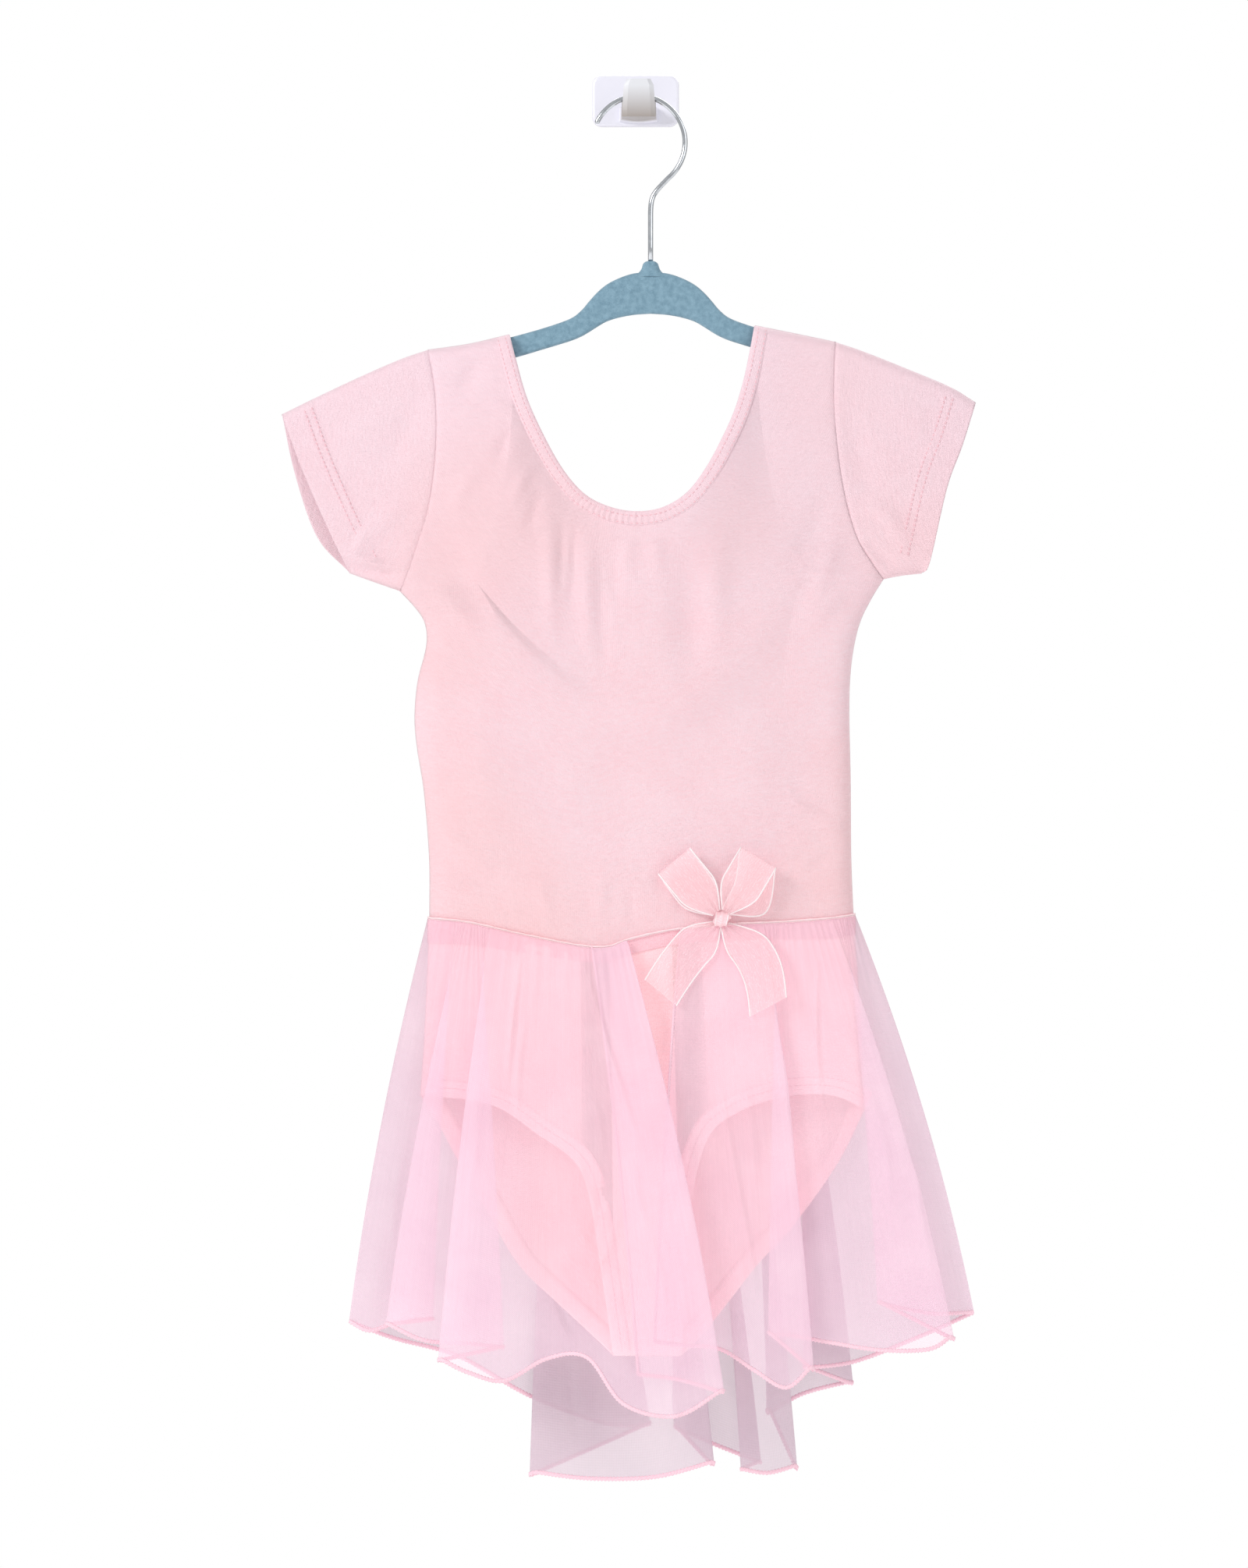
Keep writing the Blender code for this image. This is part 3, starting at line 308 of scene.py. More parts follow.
def satin():
    edge = Finish("ribbon_satin_edge")
    gloss = edge.noise(700.0, 2.0)
    return edge.surface(
        gloss,
        reach=0.0001,
        strength=0.3,
        Base_Color=edge.blend(gloss, tint(248, 226, 230), tint(255, 248, 248)),
        Roughness=0.3,
    )


ribbon_finish = organza("ribbon_organza", 0.42)
knot_finish = organza("knot_organza", 0.85)
satin_finish = satin()
print("ribbon:", ribbon_finish.name, knot_finish.name, satin_finish.name)


# %% Flock, chrome and plastic
def flock():
    cover = Finish("hanger_flock")
    fibre = cover.noise(2600.0, 2.0)
    rub = cover.noise(300.0, 4.0).above(0.34, 0.66)
    return cover.surface(
        fibre,
        reach=0.0004,
        strength=0.8,
        Base_Color=cover.blend(fibre * 0.6 + rub * 0.4, tint(96, 130, 150), tint(150, 184, 202)),
        Roughness=0.95,
        Sheen_Weight=0.6,
        Sheen_Roughness=0.4,
    )


def chrome():
    plate = Finish("hook_chrome")
    draw = plate.noise(260.0, 2.0)
    return plate.surface(
        Base_Color=plate.blend(draw, tint(186, 190, 196), tint(228, 232, 236)),
        Metallic=1.0,
        Roughness=draw * 0.1 + 0.1,
    )


def plastic():
    shell = Finish("hook_plastic")
    skin = shell.noise(420.0, 2.0)
    place = shell.node("SeparateXYZ", None, {0: shell.node("TexCoord")["Object"]})
    # Painted shade: the prong in front is greyer than the lavender plate, and darkens to beige towards
    # its bottom
    prong = 1 - place["Y"].above(-0.012, -0.007)
    low = 1 - place["Z"].above(-0.014, 0.006)
    shade = shell.blend(low, tint(226, 227, 232), tint(160, 150, 144))
    return shell.surface(
        skin,
        reach=0.0001,
        strength=0.15,
        Base_Color=shell.blend(prong, tint(238, 237, 248), shade),
        Roughness=skin * 0.1 + 0.28,
        Coat_Weight=0.2,
    )


flock_finish = flock()
chrome_finish = chrome()
plastic_finish = plastic()
print("materials:", len(bpy.data.materials))

# %% [markdown]
# ## The outlines of the dress
# A flat garment is its outline, so every shape starts from short tables of (x, z) points in
# millimetres, seen from the front. The dress hangs in one upright plane, and each panel swells
# away from it by half the depth of the hollow inside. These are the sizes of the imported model.

# %% Sizes
MM = 0.001
HANG_Y = -38.0
MIDDLE_X = 2.0
HALF_CHEST = 130.0
SEAM = 0.3
KNIT = 1.1
CHIFFON = 1.0
DEPTHS = {
    "height": (-778.0, -700.0, -610.0, -507.0, -420.0, -330.0, -260.0, -200.0, -142.0),
    "half": (6.0, 9.0, 12.5, 14.5, 14.0, 12.5, 11.5, 10.0, 8.0),
}
SIDE_FLATTENING = 0.45
SIDE_POWER = 2.5
RIDGE_ROUND = 6.0
SIDE_ROUND = 13.0
CROTCH_ROUND = 14.0
print("the hollow is up to", 2 * max(DEPTHS["half"]), "mm deep")

# %% Outlines of the shoulders, the neck and the armholes
SHOULDER_LEFT = ((-128.2, -157.0), (-103.2, -153.4), (-78.2, -147.6))
SHOULDER_RIGHT = ((73.6, -142.0), (98.4, -147.0), (123.4, -152.2))
SLEEVE_TOP_LEFT = (
    (-128.2, -157.0),
    (-146.0, -163.2),
    (-172.0, -174.6),
    (-200.2, -188.0),
    (-218.4, -197.0),
)
SLEEVE_TOP_RIGHT = (
    (123.4, -152.2),
    (142.0, -158.6),
    (168.0, -169.0),
    (194.4, -180.2),
    (209.8, -189.6),
)
NECK = (
    (-78.2, -147.6),
    (-74.2, -163.0),
    (-67.2, -187.2),
    (-56.4, -211.2),
    (-44.6, -231.8),
    (-31.2, -246.8),
    (-15.4, -254.6),
    (1.0, -257.2),
    (17.0, -254.6),
    (31.6, -245.6),
    (43.4, -230.4),
    (53.8, -211.2),
    (61.4, -194.0),
    (66.8, -176.0),
    (70.6, -158.4),
    (73.6, -142.0),
)
BACK_NECK_DROP = 1.12
ARMHOLE_LEFT = (
    (-145.4, -305.6),
    (-139.7, -290.9),
    (-133.9, -273.6),
    (-128.2, -254.4),
    (-124.6, -229.9),
    (-123.2, -205.0),
    (-124.2, -182.0),
    (-128.2, -157.0),
)
ARMHOLE_RIGHT = (
    (152.8, -298.2),
    (145.6, -288.4),
    (136.8, -273.6),
    (129.6, -249.6),
    (124.8, -220.8),
    (122.6, -192.0),
    (122.6, -170.0),
    (123.4, -152.2),
)
print("neck:", round(NECK[-1][0] - NECK[0][0], 1), "mm wide")

# %% Outlines of the sides, the waist and the sleeves
SIDE_LEFT = (
    (-127.0, -507.6),
    (-127.2, -470.4),
    (-130.4, -430.0),
    (-134.6, -403.2),
    (-136.2, -384.0),
    (-134.4, -362.0),
    (-129.4, -342.0),
    (-128.8, -331.0),
    (-131.2, -322.4),
    (-137.3, -314.2),
    (-145.4, -305.6),
)
SIDE_RIGHT = (
    (134.2, -505.6),
    (132.8, -470.4),
    (132.4, -422.4),
    (131.6, -376.0),
    (133.2, -348.4),
    (137.8, -326.4),
    (145.2, -310.6),
    (152.8, -298.2),
)
WAIST = (
    (-127.0, -507.6),
    (-103.2, -510.0),
    (-69.6, -517.4),
    (-33.6, -524.4),
    (-16.8, -524.8),
    (-4.8, -520.6),
    (21.6, -514.8),
    (55.0, -511.4),
    (88.8, -509.8),
    (117.6, -507.8),
    (134.2, -505.6),
)
BACK_WAIST_DIP = 0.45
UNDER_LEFT = ((-145.4, -305.6), (-160.8, -300.2), (-176.6, -294.4))
UNDER_RIGHT = ((152.8, -298.2), (164.0, -296.0), (176.4, -294.6))
CUFF_LEFT_FRONT = ((-176.6, -294.4), (-190.4, -266.0), (-206.0, -230.4), (-218.4, -197.0))
CUFF_LEFT_BACK = ((-176.6, -294.4), (-196.8, -272.4), (-210.4, -234.0), (-218.4, -197.0))
CUFF_RIGHT = ((176.4, -294.6), (181.4, -288.0), (192.0, -242.4), (201.6, -216.0), (209.8, -189.6))
print("waist:", round(WAIST[-1][0] - WAIST[0][0], 1), "mm wide laid flat")

# %% Outlines of the brief
BRIEF_SIDE_LEFT = ((-132.6, -616.8), (-129.6, -566.4), (-127.0, -507.6))
BRIEF_SIDE_RIGHT = ((141.6, -625.0), (138.4, -566.4), (134.2, -505.6))
CROTCH = ((-13.4, -777.6), (28.0, -777.6))
LEG_FRONT_LEFT = (
    (-132.6, -616.8),
    (-105.1, -618.7),
    (-83.0, -624.5),
    (-60.0, -640.4),
    (-38.0, -656.4),
    (-28.8, -676.8),
    (-21.6, -720.0),
    (-13.4, -777.6),
)
LEG_FRONT_RIGHT = (
    (28.0, -777.6),
    (30.6, -720.0),
    (34.8, -676.0),
    (44.6, -642.0),
    (62.0, -627.0),
    (84.0, -618.8),
    (104.0, -615.6),
    (124.0, -617.0),
    (141.6, -625.0),
)
LEG_BACK_LEFT = (
    (-132.6, -616.8),
    (-121.9, -633.6),
    (-110.9, -654.7),
    (-92.6, -686.4),
    (-72.4, -721.0),
    (-49.0, -744.4),
    (-30.0, -762.0),
    (-13.4, -777.6),
)
LEG_BACK_RIGHT = (
    (28.0, -777.6),
    (41.6, -764.0),
    (57.6, -744.0),
    (74.9, -721.9),
    (98.4, -696.0),
    (124.8, -658.6),
    (141.6, -625.0),
)
print("crotch:", round(CROTCH[1][0] - CROTCH[0][0], 1), "mm wide")

# %% [markdown]
# ## Curves, patches and depth
# Three small tools make every panel: a smooth curve through the points of an outline, a patch
# that fills four curves with a grid, and the depth of the hollow at any place. The hollow
# closes along each seam and fold, in a quarter round, as two layers of cloth meet there.


# %% Curves through points, and patches between curves
EDGE_STEPS = 12
LINE_STEPS = 8


def smooth_line(knots, steps):
    """A smooth curve through every knot, with this many points to each stretch."""
    rows = np.asarray(knots, float)
    ends = np.vstack((2 * rows[0] - rows[1], rows, 2 * rows[-1] - rows[-2]))
    share = (np.arange(steps) / steps)[:, None]
    points = []
    for start in range(len(rows) - 1):
        a, b, c, d = ends[start : start + 4]
        cubic = -a + 3 * b - 3 * c + d
        square = 2 * a - 5 * b + 4 * c - d
        points.append(b + 0.5 * (share * (c - a) + share**2 * square + share**3 * cubic))
    points.append(rows[-1:])
    return np.vstack(points)


def run_of(line):
    """How far along a line each of its points is."""
    return np.concatenate(([0.0], np.cumsum(np.linalg.norm(np.diff(line, axis=0), axis=1))))


def read_at(places, run, rows):
    """Rows of numbers that are known along a run, read at other places of it."""
    return np.column_stack([np.interp(places, run, values) for values in rows.T])


def along(line, shares):
    """Points of a line at these shares of its length."""
    run = run_of(line)
    return read_at(shares, run / run[-1], line)


def unit(vectors):
    """The same directions, each one long."""
    length = np.linalg.norm(vectors, axis=-1, keepdims=True)
    return vectors / np.maximum(length, 1e-9)


def along_parts(parts, cuts, shares):
    """Points along several lines end to end, where each line takes the shares between two cuts."""
    points = np.zeros((len(shares), 2))
    for line, low, high in zip(parts, cuts, cuts[1:]):
        inside = (shares >= low - 1e-9) & (shares <= high + 1e-9)
        points[inside] = along(smooth_line(line, EDGE_STEPS), (shares[inside] - low) / (high - low))
    return points


def patch(bottom, top, left, right, across, up):
    """Fills four edges with an even grid of (x, z) points, rows going up."""
    u = across[None, :, None]
    v = up[:, None, None]
    ruled = (1 - v) * bottom[None] + v * top[None] + (1 - u) * left[:, None] + u * right[:, None]
    corners = (1 - u) * (1 - v) * bottom[0] + u * (1 - v) * bottom[-1]
    corners = corners + (1 - u) * v * top[0] + u * v * top[-1]
    return ruled - corners


# %% The depth of the hollow, and a panel lifted by it
def distance_to(line, x, z):
    """How far each (x, z) is from a line."""
    points = smooth_line(line, LINE_STEPS) if len(line) > 2 else np.array(line)
    nearest = np.full(np.shape(x), 1e9)
    for (x0, z0), (x1, z1) in zip(points, points[1:]):
        length = (x1 - x0) ** 2 + (z1 - z0) ** 2
        share = np.clip(((x - x0) * (x1 - x0) + (z - z0) * (z1 - z0)) / length, 0, 1)
        gap = np.hypot(x - x0 - share * (x1 - x0), z - z0 - share * (z1 - z0))
        nearest = np.minimum(nearest, gap)
    return nearest


def half_depth(x, z):
    """Half the depth of the hollow at a place."""
    full = np.interp(z, DEPTHS["height"], DEPTHS["half"])
    outwards = np.clip(np.abs(x - MIDDLE_X) / HALF_CHEST, 0, 1)
    full = full * (1 - SIDE_FLATTENING * outwards**SIDE_POWER)
    near = np.ones(np.shape(x))
    for line in (SHOULDER_LEFT, SHOULDER_RIGHT, SLEEVE_TOP_LEFT, SLEEVE_TOP_RIGHT):
        near = np.minimum(near, distance_to(line, x, z) / RIDGE_ROUND)
    for line in (SIDE_LEFT, SIDE_RIGHT, UNDER_LEFT, UNDER_RIGHT, BRIEF_SIDE_LEFT, BRIEF_SIDE_RIGHT):
        near = np.minimum(near, distance_to(line, x, z) / SIDE_ROUND)
    near = np.minimum(near, distance_to(CROTCH, x, z) / CROTCH_ROUND)
    return SEAM / 2 + full * np.sqrt(1 - (1 - near) ** 2)


def give_depth(flat, facing):
    """Lifts an (x, z) grid off the hanging plane: facing is -1 for a front and 1 for a back."""
    x = flat[..., 0]
    z = flat[..., 1]
    return np.stack((x, HANG_Y + facing * half_depth(x, z), z), axis=-1)


def surface_normals(grid):
    """Unit normals of a grid of points."""
    return unit(np.cross(np.gradient(grid, axis=1), np.gradient(grid, axis=0)))


def closer_at_ends(count):
    """Shares from 0 to 1 that lie closer together at both ends."""
    even = np.linspace(0, 1, count)
    return 0.5 * even + 0.5 * (0.5 - 0.5 * np.cos(math.pi * even))


# %% [markdown]
# ## Creases
# A hanging knit is never quite flat. A crease is a soft ridge or trough along a short bowed
# line: highest in its middle and gone at its ends. A table places each one, and a slow swell
# keeps the cloth between them from looking ironed.

# %% Creases of the leotard's front, from the photograph
# The columns of each crease table: x0, z0, x1, z1, bow, width, height
BODICE_FRONT_CREASES = (
    (-88.0, -160.0, -112.0, -188.0, 2.0, 6.0, -1.2),
    (-91.0, -188.0, -72.0, -193.0, 0.6, 1.7, 0.7),
    (-74.0, -202.0, -87.0, -230.0, 1.0, 4.0, -1.0),
    (-59.0, -222.0, -78.0, -256.0, 2.0, 4.2, 1.1),
    (-57.0, -240.0, -67.0, -274.0, 1.0, 4.0, -1.0),
    (-53.0, -246.0, -51.0, -344.0, 1.0, 5.0, 1.2),
    (-45.0, -258.0, -46.0, -312.0, 0.0, 2.6, -0.6),
    (-37.0, -262.0, -41.0, -326.0, 0.0, 2.0, -1.0),
    (-30.0, -264.0, -29.0, -352.0, 0.6, 4.0, 1.1),
    (-21.5, -266.0, -20.0, -366.0, 0.0, 2.2, -0.9),
    (-14.0, -270.0, -12.0, -318.0, 1.0, 4.0, -0.9),
    (-4.0, -270.0, -5.0, -300.0, 0.0, 3.0, 0.7),
    (12.0, -268.0, 14.0, -300.0, 0.0, 3.6, 0.8),
    (30.0, -268.0, 33.0, -372.0, -2.0, 11.0, -1.7),
    (54.0, -258.0, 50.0, -348.0, 3.0, 8.0, 1.0),
    (-94.0, -226.0, -112.0, -262.0, 4.0, 5.0, 0.8),
    (-120.0, -262.0, -84.0, -330.0, 6.0, 9.0, -0.8),
    (-132.0, -300.0, -96.0, -336.0, -3.0, 6.0, 0.9),
    (118.0, -238.0, 92.0, -300.0, -4.0, 8.0, -0.7),
    (140.0, -296.0, 104.0, -336.0, 4.0, 6.0, 0.9),
    (126.0, -262.0, 100.0, -332.0, -3.0, 5.0, 0.7),
    (90.0, -428.0, 122.0, -446.0, 3.0, 2.0, 0.8),
    (86.0, -446.0, 128.0, -452.0, -2.0, 2.0, 0.7),
    (92.0, -466.0, 130.0, -451.0, -3.0, 2.2, 0.7),
    (104.0, -480.0, 132.0, -462.0, -2.0, 3.0, -0.6),
    (-122.0, -452.0, -84.0, -474.0, 4.0, 6.0, 0.7),
    (-118.0, -484.0, -66.0, -496.0, -3.0, 5.0, -0.6),
    (-60.0, -478.0, -54.0, -512.0, 0.0, 4.0, 0.5),
    (-20.0, -470.0, -22.0, -518.0, 1.0, 5.0, 0.6),
    (-4.0, -486.0, -2.0, -516.0, 0.0, 3.0, -0.7),
    (24.0, -476.0, 20.0, -510.0, 0.0, 4.0, 0.6),
    (-36.0, -380.0, -30.0, -470.0, 5.0, 16.0, 0.9),
    (64.0, -360.0, 70.0, -470.0, -4.0, 18.0, 0.8),
)
print("front creases:", len(BODICE_FRONT_CREASES))

# %% Creases of the back, the sleeves and the brief
BODICE_BACK_CREASES = (
    (-46.0, -280.0, -42.0, -346.0, 1.0, 4.0, 1.0),
    (-30.0, -286.0, -28.0, -360.0, -1.0, 4.0, -1.0),
    (-10.0, -288.0, -8.0, -346.0, 1.0, 5.0, 1.0),
    (14.0, -288.0, 16.0, -368.0, -1.5, 8.0, -1.2),
    (40.0, -276.0, 38.0, -340.0, 1.0, 4.4, 1.0),
    (-112.0, -236.0, -76.0, -276.0, 4.0, 6.0, 0.9),
    (108.0, -228.0, 72.0, -270.0, -4.0, 6.0, 0.9),
    (-128.0, -300.0, -88.0, -344.0, 3.0, 7.0, 0.9),
    (136.0, -294.0, 96.0, -340.0, -3.0, 7.0, 0.9),
    (-116.0, -440.0, -60.0, -462.0, 4.0, 8.0, -0.8),
    (120.0, -446.0, 70.0, -470.0, -4.0, 8.0, 0.8),
    (-30.0, -470.0, -26.0, -514.0, 0.0, 6.0, 0.7),
    (36.0, -466.0, 32.0, -510.0, 0.0, 7.0, -0.7),
    (4.0, -390.0, 0.0, -470.0, 5.0, 18.0, 0.9),
)
SLEEVE_CREASES = (
    (-131.0, -178.0, -162.0, -234.0, -4.0, 9.0, -1.1),
    (-140.0, -250.0, -172.0, -286.0, 3.0, 5.0, 1.0),
    (-150.0, -190.0, -186.0, -232.0, 5.0, 9.0, 0.6),
    (-144.0, -293.0, -180.0, -282.0, -1.0, 2.0, 1.5),
    (-142.0, -298.0, -182.0, -288.0, -1.0, 2.8, -1.8),
    (-160.0, -262.0, -176.0, -286.0, 1.0, 3.0, 1.0),
    (132.0, -190.0, 152.0, -256.0, 4.0, 8.0, -0.9),
    (140.0, -246.0, 170.0, -284.0, -3.0, 5.0, 1.0),
    (150.0, -184.0, 184.0, -226.0, -5.0, 9.0, 0.6),
    (140.0, -274.0, 166.0, -292.0, 2.0, 4.0, -0.8),
)
BRIEF_CREASES = (
    (-96.0, -526.0, -90.0, -580.0, 2.0, 6.0, 0.7),
    (-40.0, -532.0, -36.0, -592.0, -2.0, 7.0, -0.7),
    (-12.0, -530.0, -14.0, -640.0, 3.0, 6.0, 0.7),
    (12.0, -526.0, 16.0, -640.0, -3.0, 7.0, -0.7),
    (52.0, -522.0, 44.0, -590.0, 2.0, 6.0, 0.6),
    (104.0, -518.0, 96.0, -580.0, -2.0, 7.0, 0.7),
    (-30.0, -664.0, 4.0, -690.0, 3.0, 5.0, 0.6),
    (36.0, -664.0, 12.0, -700.0, -3.0, 5.0, -0.6),
    (-70.0, -700.0, -30.0, -700.0, 4.0, 6.0, 0.6),
)
print("other creases:", len(BODICE_BACK_CREASES) + len(SLEEVE_CREASES) + len(BRIEF_CREASES))


# %% Adding creases to a surface
def crease_height(table, x, z):
    """How far the creases of a table lift each (x, z), in millimetres."""
    lift = np.zeros(np.shape(x))
    for x0, z0, x1, z1, bow, width, height in table:
        length = math.hypot(x1 - x0, z1 - z0)
        run = ((x - x0) * (x1 - x0) + (z - z0) * (z1 - z0)) / length**2
        inside = np.clip(run, 0, 1)
        side = ((x - x0) * (z1 - z0) - (z - z0) * (x1 - x0)) / length
        side = side - bow * np.sin(math.pi * inside)
        taper = np.sin(math.pi * inside) ** 1.2 * ((run > 0) & (run < 1))
        lift += height * taper * np.exp(-((side / width) ** 2))
    return lift


def swell(x, z):
    """A slow unevenness of the cloth, in millimetres."""
    waves = np.sin(x / 21.0 + 1.3 * np.sin(z / 47.0)) * np.sin(z / 39.0 + 0.8 * np.sin(x / 33.0))
    fine = np.sin(x / 7.3 + z / 19.0 + 2.0 * np.sin(z / 23.0)) * np.sin(z / 11.0 - x / 31.0)
    return 0.35 * waves + 0.07 * fine


CREASE_DEPTH = 2.1
SWELL_DEPTH = 1.5

# Where the hollow is this shallow the cloth lies still, and over the next few millimetres it frees
STILL_DEPTH = 1.5
FREES_OVER = 6.0


def settle(grid, facing, creases, hold=None):
    """A panel with its creases and swell. The hold is where the cloth stays put, from 0 to 1."""
    x = grid[..., 0]
    z = grid[..., 2]
    lift = CREASE_DEPTH * crease_height(creases, x, z) + SWELL_DEPTH * swell(x, z)
    edge = np.clip((half_depth(x, z) - STILL_DEPTH) / FREES_OVER, 0, 1)
    if hold is not None:
        edge = edge * (1 - hold)
    grid = grid.copy()
    grid[..., 1] += facing * lift * edge
    return grid


# %% [markdown]
# ## From a grid to a piece
# A grid of points becomes a mesh of four-sided faces. Each point also carries its place on the
# cloth, in millimetres, so that weave and stitches follow the cloth and not the room.


# %% Meshes from grids, and pieces on the dress
def cloth_mesh(name, grid, finish, thick=0.0, thread=None, ring=False):
    rows, columns = grid.shape[:2]
    points = grid.reshape(-1, 3) * MM
    index = np.arange(rows * columns).reshape(rows, columns)
    onwards = np.roll(index, -1, axis=1) if ring else index[:, 1:]
    here = index if ring else index[:, :-1]
    corners = (here[:-1], onwards[:-1], onwards[1:], here[1:])
    faces = np.stack([corner.ravel() for corner in corners], axis=1)
    mesh = bpy.data.meshes.new(name)
    mesh.from_pydata(points.tolist(), [], faces.tolist())
    if thread is None:
        across = np.array([run_of(row) for row in grid])
        up = np.array([run_of(column) for column in np.swapaxes(grid, 0, 1)]).T
        middle = across[:, columns // 2][:, None]
        thread = np.stack((across - middle, up, np.zeros(across.shape)), axis=-1)
    place = mesh.attributes.new("thread", "FLOAT_VECTOR", "POINT")
    place.data.foreach_set("vector", thread.reshape(-1).astype(np.float32))
    mesh.shade_smooth()
    mesh.materials.append(finish)
    piece = bpy.data.objects.new(name, mesh)
    bpy.context.scene.collection.objects.link(piece)
    if thick:
        wall = piece.modifiers.new("wall", "SOLIDIFY")
        wall.thickness = thick * MM
        wall.offset = 0.0
    return piece


def wear(piece, slot, *nodes):
    """Puts a piece on the dress, and hides the nodes it stands for. The slot, the record's finish, is
    not used.
    """
    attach(piece, "root")
    if nodes:
        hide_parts(*nodes)
    return piece


def area_of(piece):
    """The area of one side of a single surface, in square metres."""
    return sum(face.area for face in piece.data.polygons)


# %% [markdown]
# ## Front and back of the leotard
# Each is one panel from the waist seam to the shoulders, with the scooped neck in its top edge
# and the armholes in its sides. The grid's columns meet the neck's corners, as the pattern's
# notches do, so the neck stays one clean curve.

# %% Grid shares of the leotard's panels
NECK_CUT = 0.125
UNDERARM_CUT = 0.58
SHOULDER_COLUMNS = 26
NECK_COLUMNS = 110
SIDE_ROWS = 74
ARMHOLE_ROWS = 60


def joined(*runs):
    """Runs of shares end to end, without repeating where they meet."""
    return np.concatenate([runs[0]] + [run[1:] for run in runs[1:]])


def panel_shares():
    side = NECK_CUT * closer_at_ends(SHOULDER_COLUMNS)
    middle = NECK_CUT + (1 - 2 * NECK_CUT) * closer_at_ends(NECK_COLUMNS)
    return joined(side, middle, 1 - side[::-1])


def rising_shares():
    side = UNDERARM_CUT * closer_at_ends(SIDE_ROWS)
    return joined(side, UNDERARM_CUT + (1 - UNDERARM_CUT) * closer_at_ends(ARMHOLE_ROWS))


print("leotard panels:", len(panel_shares()), "columns,", len(rising_shares()), "rows")


# %% The waist seam and the neck, front and back
def dipped(points, facing, back_share):
    """A line that sags between its ends, by its own share at the back."""
    line = np.array(points)
    if facing > 0:
        level = np.interp(line[:, 0], line[[0, -1], 0], line[[0, -1], 1])
        line[:, 1] = level + (line[:, 1] - level) * back_share
    return line


def waist_line(facing):
    """The waist seam: the back dips less than the front."""
    return dipped(WAIST, facing, BACK_WAIST_DIP)


def neck_line(facing):
    """The neck's edge: the back is scooped lower than the front."""
    return dipped(NECK, facing, BACK_NECK_DROP)


print("neck, lowest point: front", neck_line(-1)[:, 1].min(), "back", round(neck_line(1)[:, 1].min(), 1))



# %% The leotard's two panels
SIDE_NAMES = {-1: "front", 1: "back"}
JERSEY_WALL = 0.7

# How far in from each edge the creases are held back, and how deep the armhole seam is drawn in
ARMHOLE_HOLD = 3.5
WAIST_HOLD = 4.0
NECK_HOLD = 7.0
ARMHOLE_DRAW = 0.9


def bodice_grid(facing):
    across = panel_shares()
    up = rising_shares()
    bottom = along_parts((waist_line(facing),), (0, 1), across)
    tops = (SHOULDER_LEFT, neck_line(facing), SHOULDER_RIGHT)
    top = along_parts(tops, (0, NECK_CUT, 1 - NECK_CUT, 1), across)
    left = along_parts((SIDE_LEFT, ARMHOLE_LEFT), (0, UNDERARM_CUT, 1), up)
    right = along_parts((SIDE_RIGHT, ARMHOLE_RIGHT), (0, UNDERARM_CUT, 1), up)
    return give_depth(patch(bottom, top, left, right, across, up), facing)


def near_line(line, grid, reach):
    """1 on a line and 0 from a reach away."""
    return np.clip(1 - distance_to(line, grid[..., 0], grid[..., 2]) / reach, 0, 1)


bodices = {}
for facing, creases in ((-1, BODICE_FRONT_CREASES), (1, BODICE_BACK_CREASES)):
    grid = bodice_grid(facing)
    seams = [near_line(line, grid, ARMHOLE_HOLD) for line in (ARMHOLE_LEFT, ARMHOLE_RIGHT)]
    seams = np.maximum(*seams)
    hold = np.maximum(seams, near_line(waist_line(facing), grid, WAIST_HOLD))
    hold = np.maximum(hold, near_line(neck_line(facing), grid, NECK_HOLD))
    grid = settle(grid, facing, creases, hold)
    grid[..., 1] -= facing * ARMHOLE_DRAW * seams**2
    side = SIDE_NAMES[facing]
    bodices[facing] = cloth_mesh("leotard_" + side, grid, knit, JERSEY_WALL)
    wear(bodices[facing], "knit", "bodice_" + side)
    print("leotard", side, "area", round(area_of(bodices[facing]), 4))

# %% [markdown]
# ## Sleeves
# A cap sleeve is a short tube, flat here because nobody wears it. Its top and its underside are
# folds, and its hem is turned up by two centimetres, so the cloth is a little thicker there.

# %% Both sleeves, with the turned hem as a low step
HEM_DEPTH = 19.5
HEM_STEP = 0.35
HEM_SOFTNESS = 3.0
TUCK_REACH = 4.0
TUCK_DEPTH = 1.1
ARMHOLE_LAP = 0.5
SLEEVE_ROWS = 56
SLEEVE_COLUMNS = 64
CUFFS = {
    "left": {-1: CUFF_LEFT_FRONT, 1: CUFF_LEFT_BACK},
    "right": {-1: CUFF_RIGHT, 1: CUFF_RIGHT},
}
SLEEVE_EDGES = {
    "left": (UNDER_LEFT, SLEEVE_TOP_LEFT, ARMHOLE_LEFT),
    "right": (UNDER_RIGHT, SLEEVE_TOP_RIGHT, ARMHOLE_RIGHT),
}


